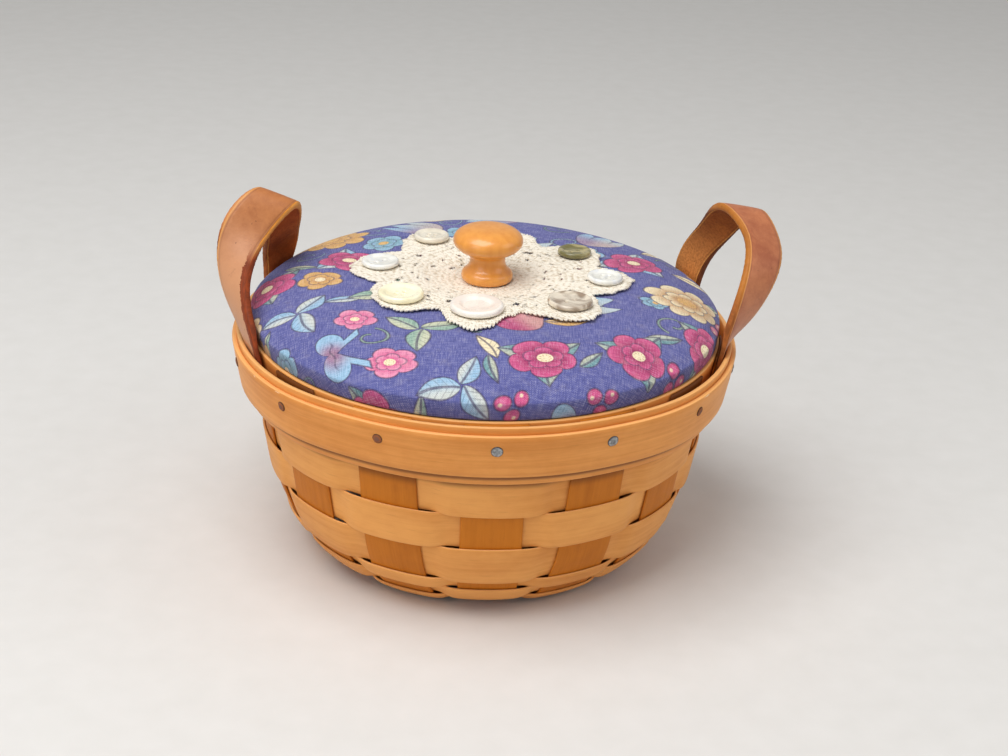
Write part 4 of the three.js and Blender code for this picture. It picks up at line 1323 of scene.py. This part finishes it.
# %% Button sizes and tones
BUTTONS = [  # name, kind, angle, distance from the doily's middle, radius, thickness, holes, rim's share
    ("front_white", "white", -6.2, 50.5, 13.0, 3.6, 0, 0.5),
    ("front_left_cream", "cream", -48.7, 56.5, 11.2, 3.4, 4, 0.6),
    ("left_pearl", "pearl", -96, 55.5, 9.5, 2.8, 2, 0.6),
    ("back_left_grey", "grey", -146, 55.5, 9.2, 3.2, 4, 0.62),
    ("back_ivory", "cream", 175, 55, 10.0, 3.0, 4, 0.6),
    ("back_right_olive", "olive", 125.4, 53.5, 8.7, 3.0, 2, 0.6),
    ("right_pearl", "pearl", 85.7, 58, 9.0, 3.0, 4, 0.6),
    ("front_right_shell", "shell", 45.8, 55, 11.0, 3.0, 2, 0.7),
]
BUTTON_TONES = {  # light, dark, how streaked, how pearly
    "white": (tint(246, 240, 230), tint(234, 224, 214), 0.0, 0.0),
    "cream": (tint(252, 246, 216), tint(244, 234, 196), 0.0, 0.0),
    "pearl": (tint(244, 242, 234), tint(224, 222, 212), 1.0, 0.3),
    "grey": (tint(234, 226, 208), tint(214, 205, 186), 0.0, 0.0),
    "olive": (tint(176, 164, 118), tint(112, 106, 62), 2.0, 0.0),
    "shell": (tint(226, 214, 194), tint(150, 130, 110), 2.0, 0.0),
}


# %% Button finishes
def button_finish(name, light, dark, streaks, pearl):
    """Moulded plastic or shell: soft clouds, or long streaks where streaks is high."""
    finish = Finish(name, Coat_Weight=0.5, Coat_Roughness=0.12, Specular_IOR_Level=0.5)
    place = finish.place()
    cloud = noise(scaled(place, (1, 1 + streaks * 0.3, 1)), 90.0, 2.0, 0.5, 0.9)
    colour = mix(step(cloud, 0.38, 0.66), light, dark)
    gleam = step(noise(place, 260.0, 2.0), 0.45, 0.7)
    return finish.done(mix(gleam * pearl, colour, tint(196, 206, 226)), 0.2 + 0.15 * cloud)


BUTTON_FINISH = {kind: button_finish(f"{kind}_gloss", *tones) for kind, tones in BUTTON_TONES.items()}
HOLE_RING, HOLE_RADIUS = 2.4, 0.75
BUTTON_LIFT = 1.9


# %% Buttons
def button(name, kind, angle, ring, radius, thick, holes, rim):
    """A grid from the middle of the top out over the rim, round the side and back under."""
    top = np.linspace(0.004, 0.95, 44)
    share = np.concatenate([top, [0.985, 1.0, 0.99, 0.9], np.linspace(0.8, 0.004, 6)])
    crown = np.interp(top, [0, rim, rim + 0.16, 0.9, 0.95], [0.62, 0.66, 0.93, 1.0, 0.9])
    level = np.concatenate([crown, [0.78, 0.5, 0.28, 0.06], np.zeros(6)])
    on_top = np.arange(len(share)) < len(top)
    turn = circle(72)[:-1, None]
    x, y = radius * share * np.cos(turn), radius * share * np.sin(turn)
    z = thick * level + 0 * turn
    for hole in range(holes):
        spin = hole * 2 * math.pi / holes + 0.6
        gap = np.hypot(x - HOLE_RING * math.cos(spin), y - HOLE_RING * math.sin(spin))
        z = z - np.where(on_top, (thick * 0.5) * (1 - ease((gap - HOLE_RADIUS) / 0.5)), 0)
    place = around(ring, math.radians(angle), 0.0) + [*DOILY_CENTRE, 0]
    distance = math.hypot(place[0], place[1])
    slope = float(dome(distance + 1) - dome(distance - 1)) / 2
    up = np.array([-slope * place[0] / distance, -slope * place[1] / distance, 1])
    place[2] = float(dome(distance)) + BUTTON_LIFT
    points = np.stack([x, y, z], -1) @ axes_from(up, (0, 1, 0)) + place
    piece = surface(f"button_{name}_disc", points, wrap_rows=True)
    settle(piece, BUTTON_FINISH[kind], f"{kind}_button", "lid", f"button_{name}")


for entry in BUTTONS:
    button(*entry)

# %% [markdown]
# ## Hidden pieces
# The board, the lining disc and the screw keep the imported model's shape; they show only when
# the lid is lifted, and still get real finishes.


# %% Finishes for carried-over nodes
def plain_wood(name, light, dark):
    """Board grain in object space, along X."""
    finish = Finish(name, Specular_IOR_Level=0.3)
    grain = noise(scaled(finish.place(), (12, 260, 60)), 1.0, 5.0, 0.6)
    return finish.done(mix(step(grain, 0.35, 0.65), light, dark), 0.6 + 0.2 * grain, grain, 0.0002, 0.4)


HIDDEN = {
    "lid_board": plain_wood("board_ply", tint(214, 172, 120), tint(186, 140, 90)),
    "lid_lining": plain_cloth("lining_card", tint(196, 160, 116), tint(170, 134, 94), 500.0, 0.0002),
    "knob_screw": metal("screw_steel", tint(196, 196, 192), tint(150, 150, 146), 0.0, 0.3),
}
for node, finish in HIDDEN.items():
    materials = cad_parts[node].data.materials
    materials.clear()
    materials.append(finish.material)
